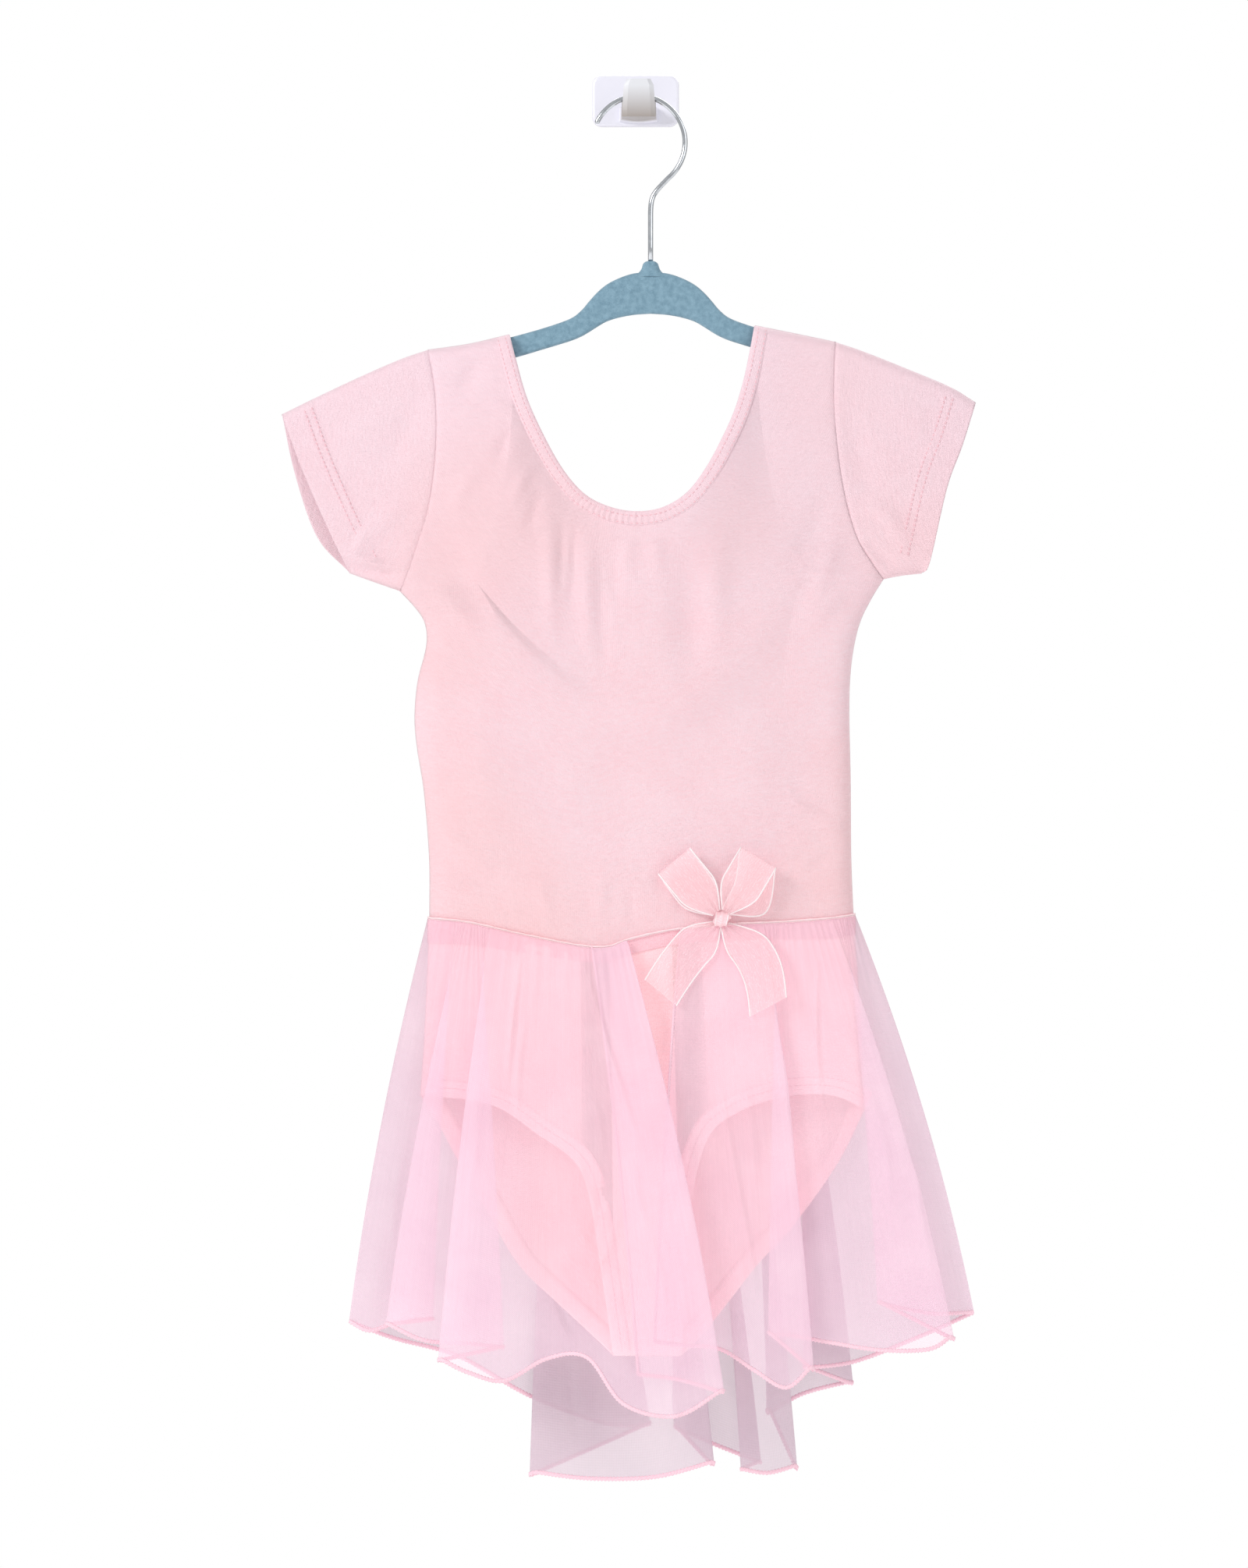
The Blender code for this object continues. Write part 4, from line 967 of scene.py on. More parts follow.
def sleeve_grid(side):
    sign = -1 if side == "left" else 1
    up = closer_at_ends(SLEEVE_ROWS)
    out = np.linspace(0, 1, SLEEVE_COLUMNS)
    under_edge, top_edge, armhole_edge = SLEEVE_EDGES[side]
    halves = []
    for facing in (-1, 1):
        cuff = CUFFS[side][facing]
        under, top = (along_parts((edge,), (0, 1), out) for edge in (under_edge, top_edge))
        armhole, end = (along_parts((edge,), (0, 1), up) for edge in (armhole_edge, cuff))
        flat = patch(under, top, armhole, end, out, up)
        grid = settle(give_depth(flat, facing), facing, SLEEVE_CREASES)
        from_cuff = distance_to(cuff, grid[..., 0], grid[..., 2])
        hem = np.clip((HEM_DEPTH - from_cuff) / HEM_SOFTNESS + 0.5, 0, 1)
        tuck = near_line(armhole_edge, grid, TUCK_REACH)
        grid[..., 1] += facing * (HEM_STEP * hem - TUCK_DEPTH * tuck**2)
        grid[[0, -1], :, 1] = HANG_Y
        grid[..., 0] -= sign * ARMHOLE_LAP * (1 - out[None, :])
        halves.append(grid)
    ring = np.concatenate((halves[0][::-1], halves[1][1:-1]))
    return np.swapaxes(ring, 0, 1)


sleeves = {}
for side in ("left", "right"):
    sleeves[side] = cloth_mesh("cap_sleeve_" + side, sleeve_grid(side), knit, JERSEY_WALL, ring=True)
    wear(sleeves[side], "knit", "sleeve_" + side)
    print("sleeve", side, "area", round(area_of(sleeves[side]), 4))

# %% [markdown]
# ## The brief
# The lower half of the leotard shows through the chiffon. Front and back are cut with different
# leg lines: high in front and lower behind, so both edges can be seen from the front.

# %% The lower edge of the brief
# Shares of a panel's columns at the crotch's corners and at the bends of the legs, and the share
# of each leg's own length at its bend
CROTCH_CUT = 0.425
BEND_CUT = 0.3575
LEG_BENDS = {-1: (0.494, 0.565), 1: (0.76, 0.235)}
LEGS = {-1: (LEG_FRONT_LEFT, LEG_FRONT_RIGHT), 1: (LEG_BACK_LEFT, LEG_BACK_RIGHT)}


def leg_edges(facing, across):
    """The lower edge of a brief panel: one leg, the crotch and the other leg."""
    legs = LEGS[facing]
    bends = LEG_BENDS[facing]
    left = np.interp(across, (0, BEND_CUT, CROTCH_CUT), (0, bends[0], 1))
    right = np.interp(across, (1 - CROTCH_CUT, 1 - BEND_CUT, 1), (0, bends[1], 1))
    points = along(smooth_line(legs[0], EDGE_STEPS), left)
    on_right = across >= 1 - CROTCH_CUT - 1e-6
    points[on_right] = along(smooth_line(legs[1], EDGE_STEPS), right[on_right])
    middle = (across > CROTCH_CUT + 1e-6) & ~on_right
    share = (across[middle] - CROTCH_CUT) / (1 - 2 * CROTCH_CUT)
    points[middle] = along(np.array(CROTCH), share)
    return points


print("brief: legs meet at", CROTCH_CUT, "and", 1 - CROTCH_CUT, "of its width")

# %% The brief's two panels
LEG_COLUMNS = 44
CROTCH_COLUMNS = 18
BRIEF_ROWS = 90
LEG_HOLD = 8.0
BRIEF_WAIST_HOLD = 6.0
BRIEF_TUCK = 0.6
BRIEF_TUCK_REACH = 3.0


def brief_grid(facing):
    side = BEND_CUT * closer_at_ends(LEG_COLUMNS)
    cuts = (BEND_CUT, CROTCH_CUT, 1 - CROTCH_CUT, 1 - BEND_CUT)
    middle = [np.linspace(low, high, CROTCH_COLUMNS) for low, high in zip(cuts, cuts[1:])]
    across = joined(side, *middle, 1 - side[::-1])
    up = closer_at_ends(BRIEF_ROWS)
    bottom = leg_edges(facing, across)
    top = along_parts((waist_line(facing),), (0, 1), across)
    left = along_parts((BRIEF_SIDE_LEFT,), (0, 1), up)
    right = along_parts((BRIEF_SIDE_RIGHT,), (0, 1), up)
    return give_depth(patch(bottom, top, left, right, across, up), facing)


briefs = {}
for facing in (-1, 1):
    grid = brief_grid(facing)
    hold = near_line(waist_line(facing), grid, BRIEF_WAIST_HOLD)
    for leg in LEGS[facing]:
        hold = np.maximum(hold, near_line(leg, grid, LEG_HOLD))
    grid = settle(grid, facing, BRIEF_CREASES, hold)
    grid[..., 1] -= facing * BRIEF_TUCK * near_line(waist_line(facing), grid, BRIEF_TUCK_REACH)
    side = SIDE_NAMES[facing]
    briefs[facing] = cloth_mesh("leotard_brief_" + side, grid, veiled_knit, JERSEY_WALL)
    wear(briefs[facing], "knit", "brief_" + side)
    print("brief", side, "area", round(area_of(briefs[facing]), 4))

# %% [markdown]
# ## Elastic casings
# Neck and leg edges are turned over a narrow elastic. The casing is a flattened roll that
# follows the edge, and where the elastic pulls hardest the cloth puckers into small ribs.


# %% A casing that follows an edge of a panel
CASING_STEP = 0.9
RIB_PITCH = 3.4


def edge_frame(line, steps):
    """Places along an edge, and the direction in which the edge runs at each."""
    flat = smooth_line(line, steps)
    return flat, unit(np.gradient(flat, axis=0))


def casing_profile(width):
    """The casing's section: how far in from the edge, and how far out of the panel's middle."""
    return (
        (width, 0.30),
        (width - 0.5, 0.75),
        (width * 0.66, 1.0),
        (width * 0.33, 1.02),
        (1.0, 0.95),
        (0.25, 0.72),
        (-0.35, 0.25),
        (-0.45, -0.25),
        (0.2, -0.75),
        (1.2, -0.85),
        (width * 0.6, -0.8),
        (width, -0.45),
    )


def casing_grid(line, facing, inwards, width, pucker):
    """A flattened roll over an edge. Pucker gives the height of the ribs along the edge."""
    flat, slope = edge_frame(line, 40)
    run = run_of(flat)
    even = np.arange(0, run[-1], CASING_STEP)
    flat = read_at(even, run, flat)
    slope = read_at(even, run, slope)
    inner = np.column_stack((slope[:, 1], -slope[:, 0])) * inwards
    share = even / even[-1]
    ribs = pucker(share) * np.sin(2 * math.pi * even / RIB_PITCH + 1.4 * np.sin(even / 9.0))
    profile = casing_profile(width)
    columns = []
    for depth, height in profile:
        place = flat + inner * depth
        beyond = flat + inner * max(depth, 0.5)
        half = half_depth(beyond[:, 0], beyond[:, 1])
        bump = height + (ribs * min(1.0, depth / 3.0) if height > 0.5 else 0.0)
        y = HANG_Y + facing * (half + bump)
        columns.append(np.stack((place[:, 0], y, place[:, 1]), axis=-1))
    grid = np.stack(columns, axis=1)
    around = np.zeros(grid.shape)
    around[..., 0] = np.array([depth for depth, _ in profile])[None, :]
    around[..., 1] = even[:, None]
    return grid, around


# %% Where each casing puckers, and the six casings
def hump(places, middle, spread):
    """1 in the middle, dying away on both sides of it."""
    return np.exp(-(((places - middle) / spread) ** 2))


def neck_pucker(share):
    return 0.08 + 0.42 * hump(share, 0.42, 0.1) + 0.12 * hump(share, 0.6, 0.07)


def leg_pucker(share):
    return 0.12 + 0.1 * np.sin(share * 9.0) ** 2


NECK_CASING = 8.4
LEG_CASING = 11.0
edges = {
    "neck_casing_front": (NECK, -1, 1, NECK_CASING, neck_pucker),
    "neck_casing_back": (neck_line(1), 1, 1, NECK_CASING, neck_pucker),
    "leg_casing_front_left": (LEG_FRONT_LEFT, -1, -1, LEG_CASING, leg_pucker),
    "leg_casing_front_right": (LEG_FRONT_RIGHT, -1, -1, LEG_CASING, leg_pucker),
    "leg_casing_back_left": (LEG_BACK_LEFT, 1, -1, LEG_CASING, leg_pucker),
    "leg_casing_back_right": (LEG_BACK_RIGHT, 1, -1, LEG_CASING, leg_pucker),
}
casings = {}
for name, (line, facing, inwards, width, pucker) in edges.items():
    grid, around = casing_grid(line, facing, inwards, width, pucker)
    finish = casing_knit if name.startswith("neck") else veiled_knit
    casings[name] = wear(cloth_mesh(name, grid, finish, thread=around, ring=True), "knit")
print("casings:", len(casings))

# %% [markdown]
# ## Stitches
# A coverstitch machine leaves two rows of short stitches on the right side. One stitch is a
# tiny five-sided grain of thread, and a row is many of them laid along a line in a single mesh.


# %% One stitch, and rows of them
STITCH_LENGTH = 1.9
STITCH_GAP = 1.1
STITCH_THICK = 0.34
STITCH_SIDES = 5

# Along a stitch: the share of its length, and how full it is there
STITCH_SHAPE = ((0.0, 0.35), (0.3, 1.0), (0.7, 1.0), (1.0, 0.35))


def add_stitch(bm, start, end, out):
    """A grain of thread from start to end, lying on the side that faces out."""
    side = np.cross(unit(end - start), out)
    rings = []
    for share, fullness in STITCH_SHAPE:
        centre = start + (end - start) * share
        ring = []
        for k in range(STITCH_SIDES):
            turn = 2 * math.pi * k / STITCH_SIDES
            reach = side * math.cos(turn) + out * math.sin(turn) * 0.7
            ring.append(bm.verts.new((centre + reach * STITCH_THICK * fullness) * MM))
        rings.append(ring)
    for low, high in zip(rings, rings[1:]):
        for k in range(STITCH_SIDES):
            after = (k + 1) % STITCH_SIDES
            bm.faces.new((low[k], low[after], high[after], high[k]))
    bm.faces.new(rings[0][::-1])
    bm.faces.new(rings[-1])


def stitch_rows(name, rows):
    """One mesh of stitches along several lines of points, each with its outward direction."""
    bm = bmesh.new()
    count = 0
    for line, outwards in rows:
        run = run_of(line)
        last = run[-1] - STITCH_LENGTH - STITCH_GAP
        starts = np.arange(STITCH_GAP, last, STITCH_LENGTH + STITCH_GAP)
        heads = read_at(starts, run, line)
        tails = read_at(starts + STITCH_LENGTH, run, line)
        for head, tail, out in zip(heads, tails, read_at(starts, run, outwards)):
            add_stitch(bm, head, tail, out)
        count += len(starts)
    print(name, count)
    mesh = bpy.data.meshes.new(name)
    bm.to_mesh(mesh)
    bm.free()
    mesh.shade_smooth()
    mesh.materials.append(stitch_thread)
    piece = bpy.data.objects.new(name, mesh)
    bpy.context.scene.collection.objects.link(piece)
    return wear(piece, "knit")


def offset_row(line, facing, inwards, depth, height):
    """A line on a panel's surface, this far in from an edge."""
    flat, slope = edge_frame(line, 20)
    inner = np.column_stack((slope[:, 1], -slope[:, 0])) * inwards
    place = flat + inner * depth
    y = HANG_Y + facing * (half_depth(place[:, 0], place[:, 1]) + height)
    points = np.column_stack((place[:, 0], y, place[:, 1]))
    return points, np.tile((0.0, float(facing), 0.0), (len(points), 1))


# %% The stitches of the neck, the legs and the cuffs
# How far in from its edge each row lies, and how far out of the panel's middle
NECK_STITCHES = ((2.5, 1.1), (7.2, 0.9))
LEG_STITCHES = ((5.4, 1.15), (10.2, 0.8))
CUFF_STITCHES = ((14.2, 0.85), (19.0, 0.85))

neck_rows = []
for facing in (-1, 1):
    for place in NECK_STITCHES:
        neck_rows.append(offset_row(neck_line(facing), facing, 1, *place))
stitch_rows("neck_stitches", neck_rows)

leg_rows = []
for facing in (-1, 1):
    for line in LEGS[facing]:
        for place in LEG_STITCHES:
            leg_rows.append(offset_row(line, facing, -1, *place))
stitch_rows("leg_stitches", leg_rows)

cuff_rows = []
for facing in (-1, 1):
    for place in CUFF_STITCHES:
        cuff_rows.append(offset_row(CUFFS["left"][facing], facing, 1, *place))
        cuff_rows.append(offset_row(CUFFS["right"][facing][1:], facing, -1, *place))
stitch_rows("cuff_stitches", cuff_rows)

# %% [markdown]
# ## The skirt
# The skirt is three pieces of chiffon: the over panel wraps across the under panel in front,
# and one piece makes the back. Each fold is a line from the waist seam to the hem, and the
# cloth is a smooth surface through those lines, with a round nose where it turns back.

# %% Fold tables of the two front pieces
Fold = namedtuple("Fold", ("line", "waist", "lift", "hem_x", "hem_out", "hem_z", "nose"))
SKIRT_OVER = (
    ("side", -127.0, 0.0, -177.0, 0.2, -757.0, 0.0),
    ("first flute", -122.0, 0.0, -164.0, 5.0, -762.4, 0.0),
    ("first flute inner", -117.0, 0.0, -146.0, 6.0, -757.0, 0.0),
    ("first fold", -112.0, 0.0, -127.0, 10.0, -755.0, 2.0),
    ("second flute edge", -106.0, 0.0, -151.0, 20.0, -757.6, 2.0),
    ("second flute", -102.0, 0.0, -130.0, 24.0, -767.0, 0.0),
    ("second flute inner", -99.0, 0.0, -104.0, 24.0, -769.0, 0.0),
    ("second fold", -95.6, 0.0, -84.0, 28.0, -771.0, 2.0),
    ("third flute edge", -89.6, 0.0, -118.0, 38.0, -778.0, 2.0),
    ("third flute", -78.0, 0.0, -102.0, 41.0, -785.6, 0.0),
    ("third flute low", -66.0, 0.0, -80.0, 38.0, -790.6, 0.0),
    ("third flute hollow", -50.0, 0.0, -54.0, 33.0, -777.4, 0.0),
    ("third flute rise", -36.0, 0.8, -30.0, 38.0, -776.4, 0.0),
    ("front flute", -25.0, 1.9, -8.0, 45.0, -804.0, 0.0),
    ("front flute low", -14.0, 2.4, 24.0, 47.0, -811.6, 0.0),
    ("front edge", -6.0, 1.4, 51.0, 43.0, -797.0, 2.0),
    ("front return", -17.0, 0.1, 26.0, 37.0, -790.0, 0.0),
    ("inner edge", -27.0, 0.0, 1.0, 34.5, -787.0, 0.0),
)
SKIRT_UNDER = (
    ("free edge", 28.0, 0.0, 12.0, 25.0, -768.0, 0.0),
    ("fourth flute hidden", 32.0, 0.0, 30.0, 26.0, -770.0, 0.0),
    ("fourth flute", 40.0, 0.0, 52.0, 26.0, -772.4, 0.0),
    ("fourth flute low", 56.0, 0.0, 72.0, 29.0, -784.6, 0.0),
    ("fourth flute end", 70.0, 0.0, 92.0, 29.5, -795.6, 0.0),
    ("fourth edge", 79.0, 0.0, 107.0, 25.0, -784.0, 2.0),
    ("fourth fold", 86.0, 0.0, 83.6, 15.0, -764.0, 2.0),
    ("fifth flute hidden", 91.0, 0.0, 96.0, 12.0, -765.0, 0.0),
    ("fifth flute", 97.0, 0.0, 120.0, 16.0, -769.0, 0.0),
    ("fifth flute low", 106.0, 0.0, 150.0, 18.5, -773.4, 0.0),
    ("fifth flute end", 115.0, 0.0, 180.0, 18.0, -773.0, 0.0),
    ("fifth edge", 121.0, 0.0, 193.0, 14.0, -766.0, 1.8),
    ("fifth fold", 128.0, 0.0, 153.0, 5.6, -746.0, 1.8),
    ("side flute", 131.4, 0.0, 182.0, 2.4, -752.0, 0.0),
    ("side", 134.2, 0.0, 209.0, 0.2, -751.4, 0.0),
)
print("lines in front:", len(SKIRT_OVER) + len(SKIRT_UNDER))

# %% Fold table of the back
SKIRT_BACK = (
    ("side", -127.0, 0.0, -177.0, 0.2, -757.0, 0.0),
    ("back flute", -119.0, 0.0, -150.0, 9.0, -768.0, 0.0),
    ("back flute middle", -106.0, 0.0, -110.0, 18.0, -780.0, 0.0),
    ("back flute low", -92.0, 0.0, -66.0, 25.0, -805.0, 0.0),
    ("back flute inner", -76.0, 0.0, -22.0, 31.0, -822.0, 0.0),
    ("back fold", -62.5, 0.0, 4.0, 28.0, -824.0, 2.0),
    ("tail edge", -50.0, 0.0, -60.0, 19.5, -852.0, 2.0),
    ("tail", -36.0, 0.0, -28.0, 16.0, -855.6, 0.0),
    ("tail middle", -18.0, 0.0, 12.0, 16.0, -854.6, 0.0),
    ("tail right edge", -2.0, 0.0, 45.6, 19.5, -846.0, 1.8),
    ("tail fold", 7.0, 0.0, 27.0, 27.0, -826.0, 1.8),
    ("recess", 16.0, 0.0, 50.0, 29.0, -836.0, 0.0),
    ("recess fold", 27.0, 0.0, 76.0, 25.0, -846.0, 1.6),
    ("last tail edge", 35.0, 0.0, 66.6, 19.0, -850.0, 1.6),
    ("last tail", 44.0, 0.0, 82.0, 15.0, -852.0, 0.0),
    ("last tail right edge", 58.0, 0.0, 98.4, 20.0, -848.0, 2.0),
    ("last tail fold", 67.0, 0.0, 84.0, 30.0, -816.0, 2.0),
    ("right flute", 79.0, 0.0, 104.0, 34.0, -804.6, 0.0),
    ("right flute edge", 92.0, 0.0, 132.0, 29.0, -797.0, 2.0),
    ("right fold", 101.0, 0.0, 107.0, 19.0, -787.0, 2.0),
    ("side flute", 110.0, 0.0, 136.0, 15.5, -783.0, 0.0),
    ("side flute end", 124.0, 0.0, 176.0, 8.0, -767.0, 0.0),
    ("side", 134.2, 0.0, 209.0, 0.2, -751.4, 0.0),
)
print("lines at the back:", len(SKIRT_BACK))

# %% The waist line that the skirt hangs from
WAIST_GAP = 1.5 * SEAM

# The seam's own points, closer together over a short reach at each side seam
WAIST_STEPS = 400
WAIST_END_STEPS = 60
WAIST_END_REACH = 3


def waist_ring(places, facing, lifts):
    """Points round the outside of the waist seam, where the skirt's top edge is sewn."""
    line = along(smooth_line(waist_line(facing), LINE_STEPS), np.linspace(0, 1, WAIST_STEPS))
    close = np.linspace(0, 1, WAIST_END_STEPS) ** 3 * WAIST_END_REACH
    x = np.concatenate((line[:1, 0] + close[:-1], line[:, 0]))
    x = np.unique(np.concatenate((x, line[-1, 0] - close)))
    z = np.interp(x, line[:, 0], line[:, 1])
    y = HANG_Y + facing * half_depth(x, z)
    slope_x = np.gradient(x)
    slope_y = np.gradient(y)
    length = np.hypot(slope_x, slope_y)
    out = KNIT / 2 + WAIST_GAP + CHIFFON / 2
    out_x = x - facing * slope_y / length * out
    out_y = y + facing * slope_x / length * out
    out_x[0], out_y[0] = x[0] - out, HANG_Y + facing * SEAM / 2
    out_x[-1], out_y[-1] = x[-1] + out, HANG_Y + facing * SEAM / 2
    run = (places - x[0]) / (x[-1] - x[0])
    even = np.interp(run, np.linspace(0, 1, len(x)), np.arange(len(x)) / (len(x) - 1))
    spread = x[0] + even * (x[-1] - x[0])
    ring = [np.interp(spread, x, values) for values in (out_x, out_y, z - SEAM)]
    ring[1] = ring[1] + facing * lifts
    return np.column_stack(ring)


# %% Folds with round noses, let out where they turn too tightly
NOSE_SPREAD = 0.5
LIFT_SPREAD = 0.9
FOLD_RADIUS = 1.0
EASE_FROM = 0.8
EASE_SHARE = 0.25
EASE_SPREAD = 5
EASE_STEP = 0.2
EASE_ROUNDS = 150


def round_noses(table):
    """Rows of numbers for the lines of a skirt piece. A fold's line becomes two, a nose apart."""
    folds = [Fold(*row) for row in table]
    lines = []
    for k, fold in enumerate(folds):
        if fold.nose == 0.0:
            lines.append(fold[1:-1])
            continue
        before, after = folds[k - 1], folds[k + 1]
        towards = math.copysign(fold.nose, after.hem_out - before.hem_out)
        onwards = math.copysign(NOSE_SPREAD, after.waist - before.waist)
        lifted = math.copysign(LIFT_SPREAD if fold.lift > 0 else 0.0, towards)
        for side in (-1, 1):
            waist = fold.waist + side * onwards
            lift = fold.lift + side * lifted
            lines.append((waist, lift, fold.hem_x, fold.hem_out + side * towards, fold.hem_z))
    return np.array(lines)


def eased(points):
    """A dense run of points, let out wherever it turns tighter than the cloth can."""
    run = run_of(points)
    even = np.append(np.arange(0.0, run[-1], EASE_STEP), run[-1])
    line = read_at(even, run, points)
    for _ in range(EASE_ROUNDS):
        steps = np.diff(line, axis=0)
        lengths = np.linalg.norm(steps, axis=1, keepdims=True)
        bend = np.linalg.norm(np.diff(steps / lengths, axis=0), axis=1) / lengths[1:, 0]
        tight = np.clip(bend * FOLD_RADIUS - EASE_FROM, 0, 1)
        tight = np.convolve(tight, np.ones(EASE_SPREAD) / EASE_SPREAD, "same")
        line[1:-1] += EASE_SHARE * tight[:, None] * (line[2:] + line[:-2] - 2 * line[1:-1])
    return read_at(run, even, line)


# %% The skirt's surface
SKIRT_BOW_OUT = 0.33
SKIRT_DEPTH_POWER = 0.55
SKIRT_LENGTH = 270.0
FOLD_STEPS = 40
ROW_COUNT = 96
ROW_POWER = 1.25

# A new column after this many millimetres along the hem, or this much of a turn
COLUMN_STEP = 1.9
COLUMN_TURN = 0.35


def skirt_grid(table, facing):
    """A skirt piece as a grid, with each point's place on the cloth."""
    lines = smooth_line(round_noses(table), FOLD_STEPS)
    waist = waist_ring(lines[:, 0], facing, lines[:, 1])
    hem = np.column_stack((lines[:, 2], HANG_Y + facing * lines[:, 3], lines[:, 4]))
    dense = []
    shares = np.linspace(0, 1, ROW_COUNT) ** ROW_POWER
    for share in shares:
        spread = share + SKIRT_BOW_OUT * share * (1 - share)
        row = waist + (hem - waist) * np.array((1.0, 1.0, share))
        row[:, 0] = waist[:, 0] + (hem[:, 0] - waist[:, 0]) * spread
        row[:, 1] = waist[:, 1] + (hem[:, 1] - waist[:, 1]) * share**SKIRT_DEPTH_POWER
        dense.append(eased(row))
    dense = np.array(dense)
    length = run_of(dense[-1])
    turns = np.zeros(len(length))
    for row in dense[:: ROW_COUNT // 8]:
        steps = np.diff(row[:, :2], axis=0)
        turn = np.abs(np.diff(np.unwrap(np.arctan2(steps[:, 1], steps[:, 0]))))
        turns[1:-1] = np.maximum(turns[1:-1], turn)
    cost = length / COLUMN_STEP + np.cumsum(turns) / COLUMN_TURN
    places = np.interp(np.linspace(0, cost[-1], int(cost[-1])), cost, np.arange(len(cost)))
    low = np.floor(places).astype(int).clip(0, len(cost) - 2)
    part = (places - low)[None, :, None]
    grid = dense[:, low] * (1 - part) + dense[:, low + 1] * part
    across = np.interp(places, np.arange(len(length)), length)
    thread = np.zeros(grid.shape)
    thread[..., 0] = across[None, :]
    thread[..., 1] = shares[:, None] * SKIRT_LENGTH
    return grid, thread, shares


# %% [markdown]
# ## Wrinkles in the chiffon
# The seam gathers the chiffon, so small pleats fan out below it and die away. Lower down the
# front flap is crumpled from lying folded. Both are moved along the cloth's own normals.

# %% Crumples and pale fold lines
CRUMPLES = (
    (-36.0, -652.0, -14.0, -700.0, 3.0, 2.4, 1.2),
    (-22.0, -660.0, -30.0, -716.0, -3.0, 2.2, -1.0),
    (-40.0, -690.0, -6.0, -726.0, 4.0, 2.4, 1.2),
    (-10.0, -684.0, -34.0, -742.0, -4.0, 2.4, 1.0),
    (-46.0, -712.0, -18.0, -748.0, 3.0, 2.2, -1.2),
    (-2.0, -650.0, 10.0, -706.0, 2.0, 3.0, 0.9),
    (-28.0, -612.0, -20.0, -654.0, -2.0, 2.4, 0.8),
    (8.0, -700.0, 20.0, -756.0, -2.0, 3.0, 0.8),
    (-66.0, -560.0, -72.0, -640.0, 3.0, 2.2, 0.8),
    (-98.0, -600.0, -104.0, -690.0, -3.0, 3.0, 0.7),
    (-140.0, -640.0, -150.0, -720.0, 3.0, 3.0, 0.7),
    (66.0, -600.0, 72.0, -690.0, -3.0, 3.0, 0.8),
    (-69.0, -519.0, -80.0, -619.0, 1.0, 1.5, 1.3),
    (-33.6, -527.0, 4.3, -651.5, 1.0, 2.0, 1.5),
    (112.5, -528.0, 115.2, -628.0, 2.6, 1.4, 1.2),
    (50.0, -600.0, 76.0, -742.0, 0.0, 1.8, 1.2),
    (-47.0, -708.0, -30.0, -722.0, 1.0, 1.3, 1.0),
    (-38.0, -722.0, -16.0, -738.0, -1.0, 1.3, -1.0),
    (-52.0, -736.0, -34.0, -772.0, 2.0, 1.5, 1.1),
    (92.0, -560.0, 98.0, -660.0, 3.0, 2.6, 0.7),
    (140.0, -600.0, 158.0, -700.0, -4.0, 3.4, 0.8),
    (172.0, -650.0, 184.0, -730.0, 3.0, 3.0, 0.7),
    (-40.0, -780.0, -34.0, -836.0, 2.0, 3.0, 0.7),
    (20.0, -786.0, 26.0, -838.0, -2.0, 3.0, 0.7),
    (78.0, -786.0, 84.0, -836.0, 2.0, 3.0, 0.6),
)
print("crumples:", len(CRUMPLES))

# %% The three skirt pieces, with gathers below the waist seam
CRUMPLE_DEPTH = 1.8
GATHER_DEPTH = 0.3


def gather_height(across, share):
    """Small pleats, gone by a third of the way down, and wide ones that fade more slowly."""
    fade = np.exp(-((share / 0.16) ** 1.4)) * np.clip(share / 0.012, 0, 1)
    pleats = np.sin(across / 2.1 + 1.7 * np.sin(across / 13.0)) + 0.6 * np.sin(across / 4.7 + 2.0)
    long_fade = np.exp(-((share / 0.55) ** 2)) * np.clip(share / 0.1, 0, 1)
    waves = np.sin(across / 17.0 + 2.0 * np.sin(across / 43.0))
    return GATHER_DEPTH * fade * pleats + GATHER_DEPTH * long_fade * waves


skirts = {}
skirt_tables = {
    "skirt_over": (SKIRT_OVER, -1),
    "skirt_under": (SKIRT_UNDER, -1),
    "skirt_back": (SKIRT_BACK, 1),
}
for node, (table, facing) in skirt_tables.items():
    grid, thread, shares = skirt_grid(table, facing)
    normals = surface_normals(grid) * facing
    lift = gather_height(thread[..., 0], shares[:, None])
    lift = lift + CRUMPLE_DEPTH * crease_height(CRUMPLES, grid[..., 0], grid[..., 2])
    ends = np.clip(np.arange(grid.shape[1]) / 3.0, 0, 1)
    lift = lift * (ends * ends[::-1])[None, :]
    grid = grid + normals * lift[..., None]
    name = node.replace("skirt_", "chiffon_")
    finish = shaded if facing > 0 else sheer
    skirts[name] = (cloth_mesh(name, grid, finish, thread=thread), grid)
    wear(skirts[name][0], "chiffon", node)
    print(name, grid.shape[:2], "area", round(area_of(skirts[name][0]), 4))


# %% [markdown]
# ## Overlocked hems
# The raw edge of each chiffon piece is bound by a narrow overlock. It is a flat cord of thread
# whose loops lean across the edge, close enough to read as a pink line from a step away.


# %% A cord of slanted loops along an edge
OVERLOCK_STEP = 0.55
OVERLOCK_SIDES = 8
LOOP_PITCH = 2.2
LOOP_SWELL = 0.22


def square_to(ahead, vectors):
    """Each vector without its part along the line, one long."""
    return unit(vectors - ahead * np.sum(vectors * ahead, axis=1, keepdims=True))


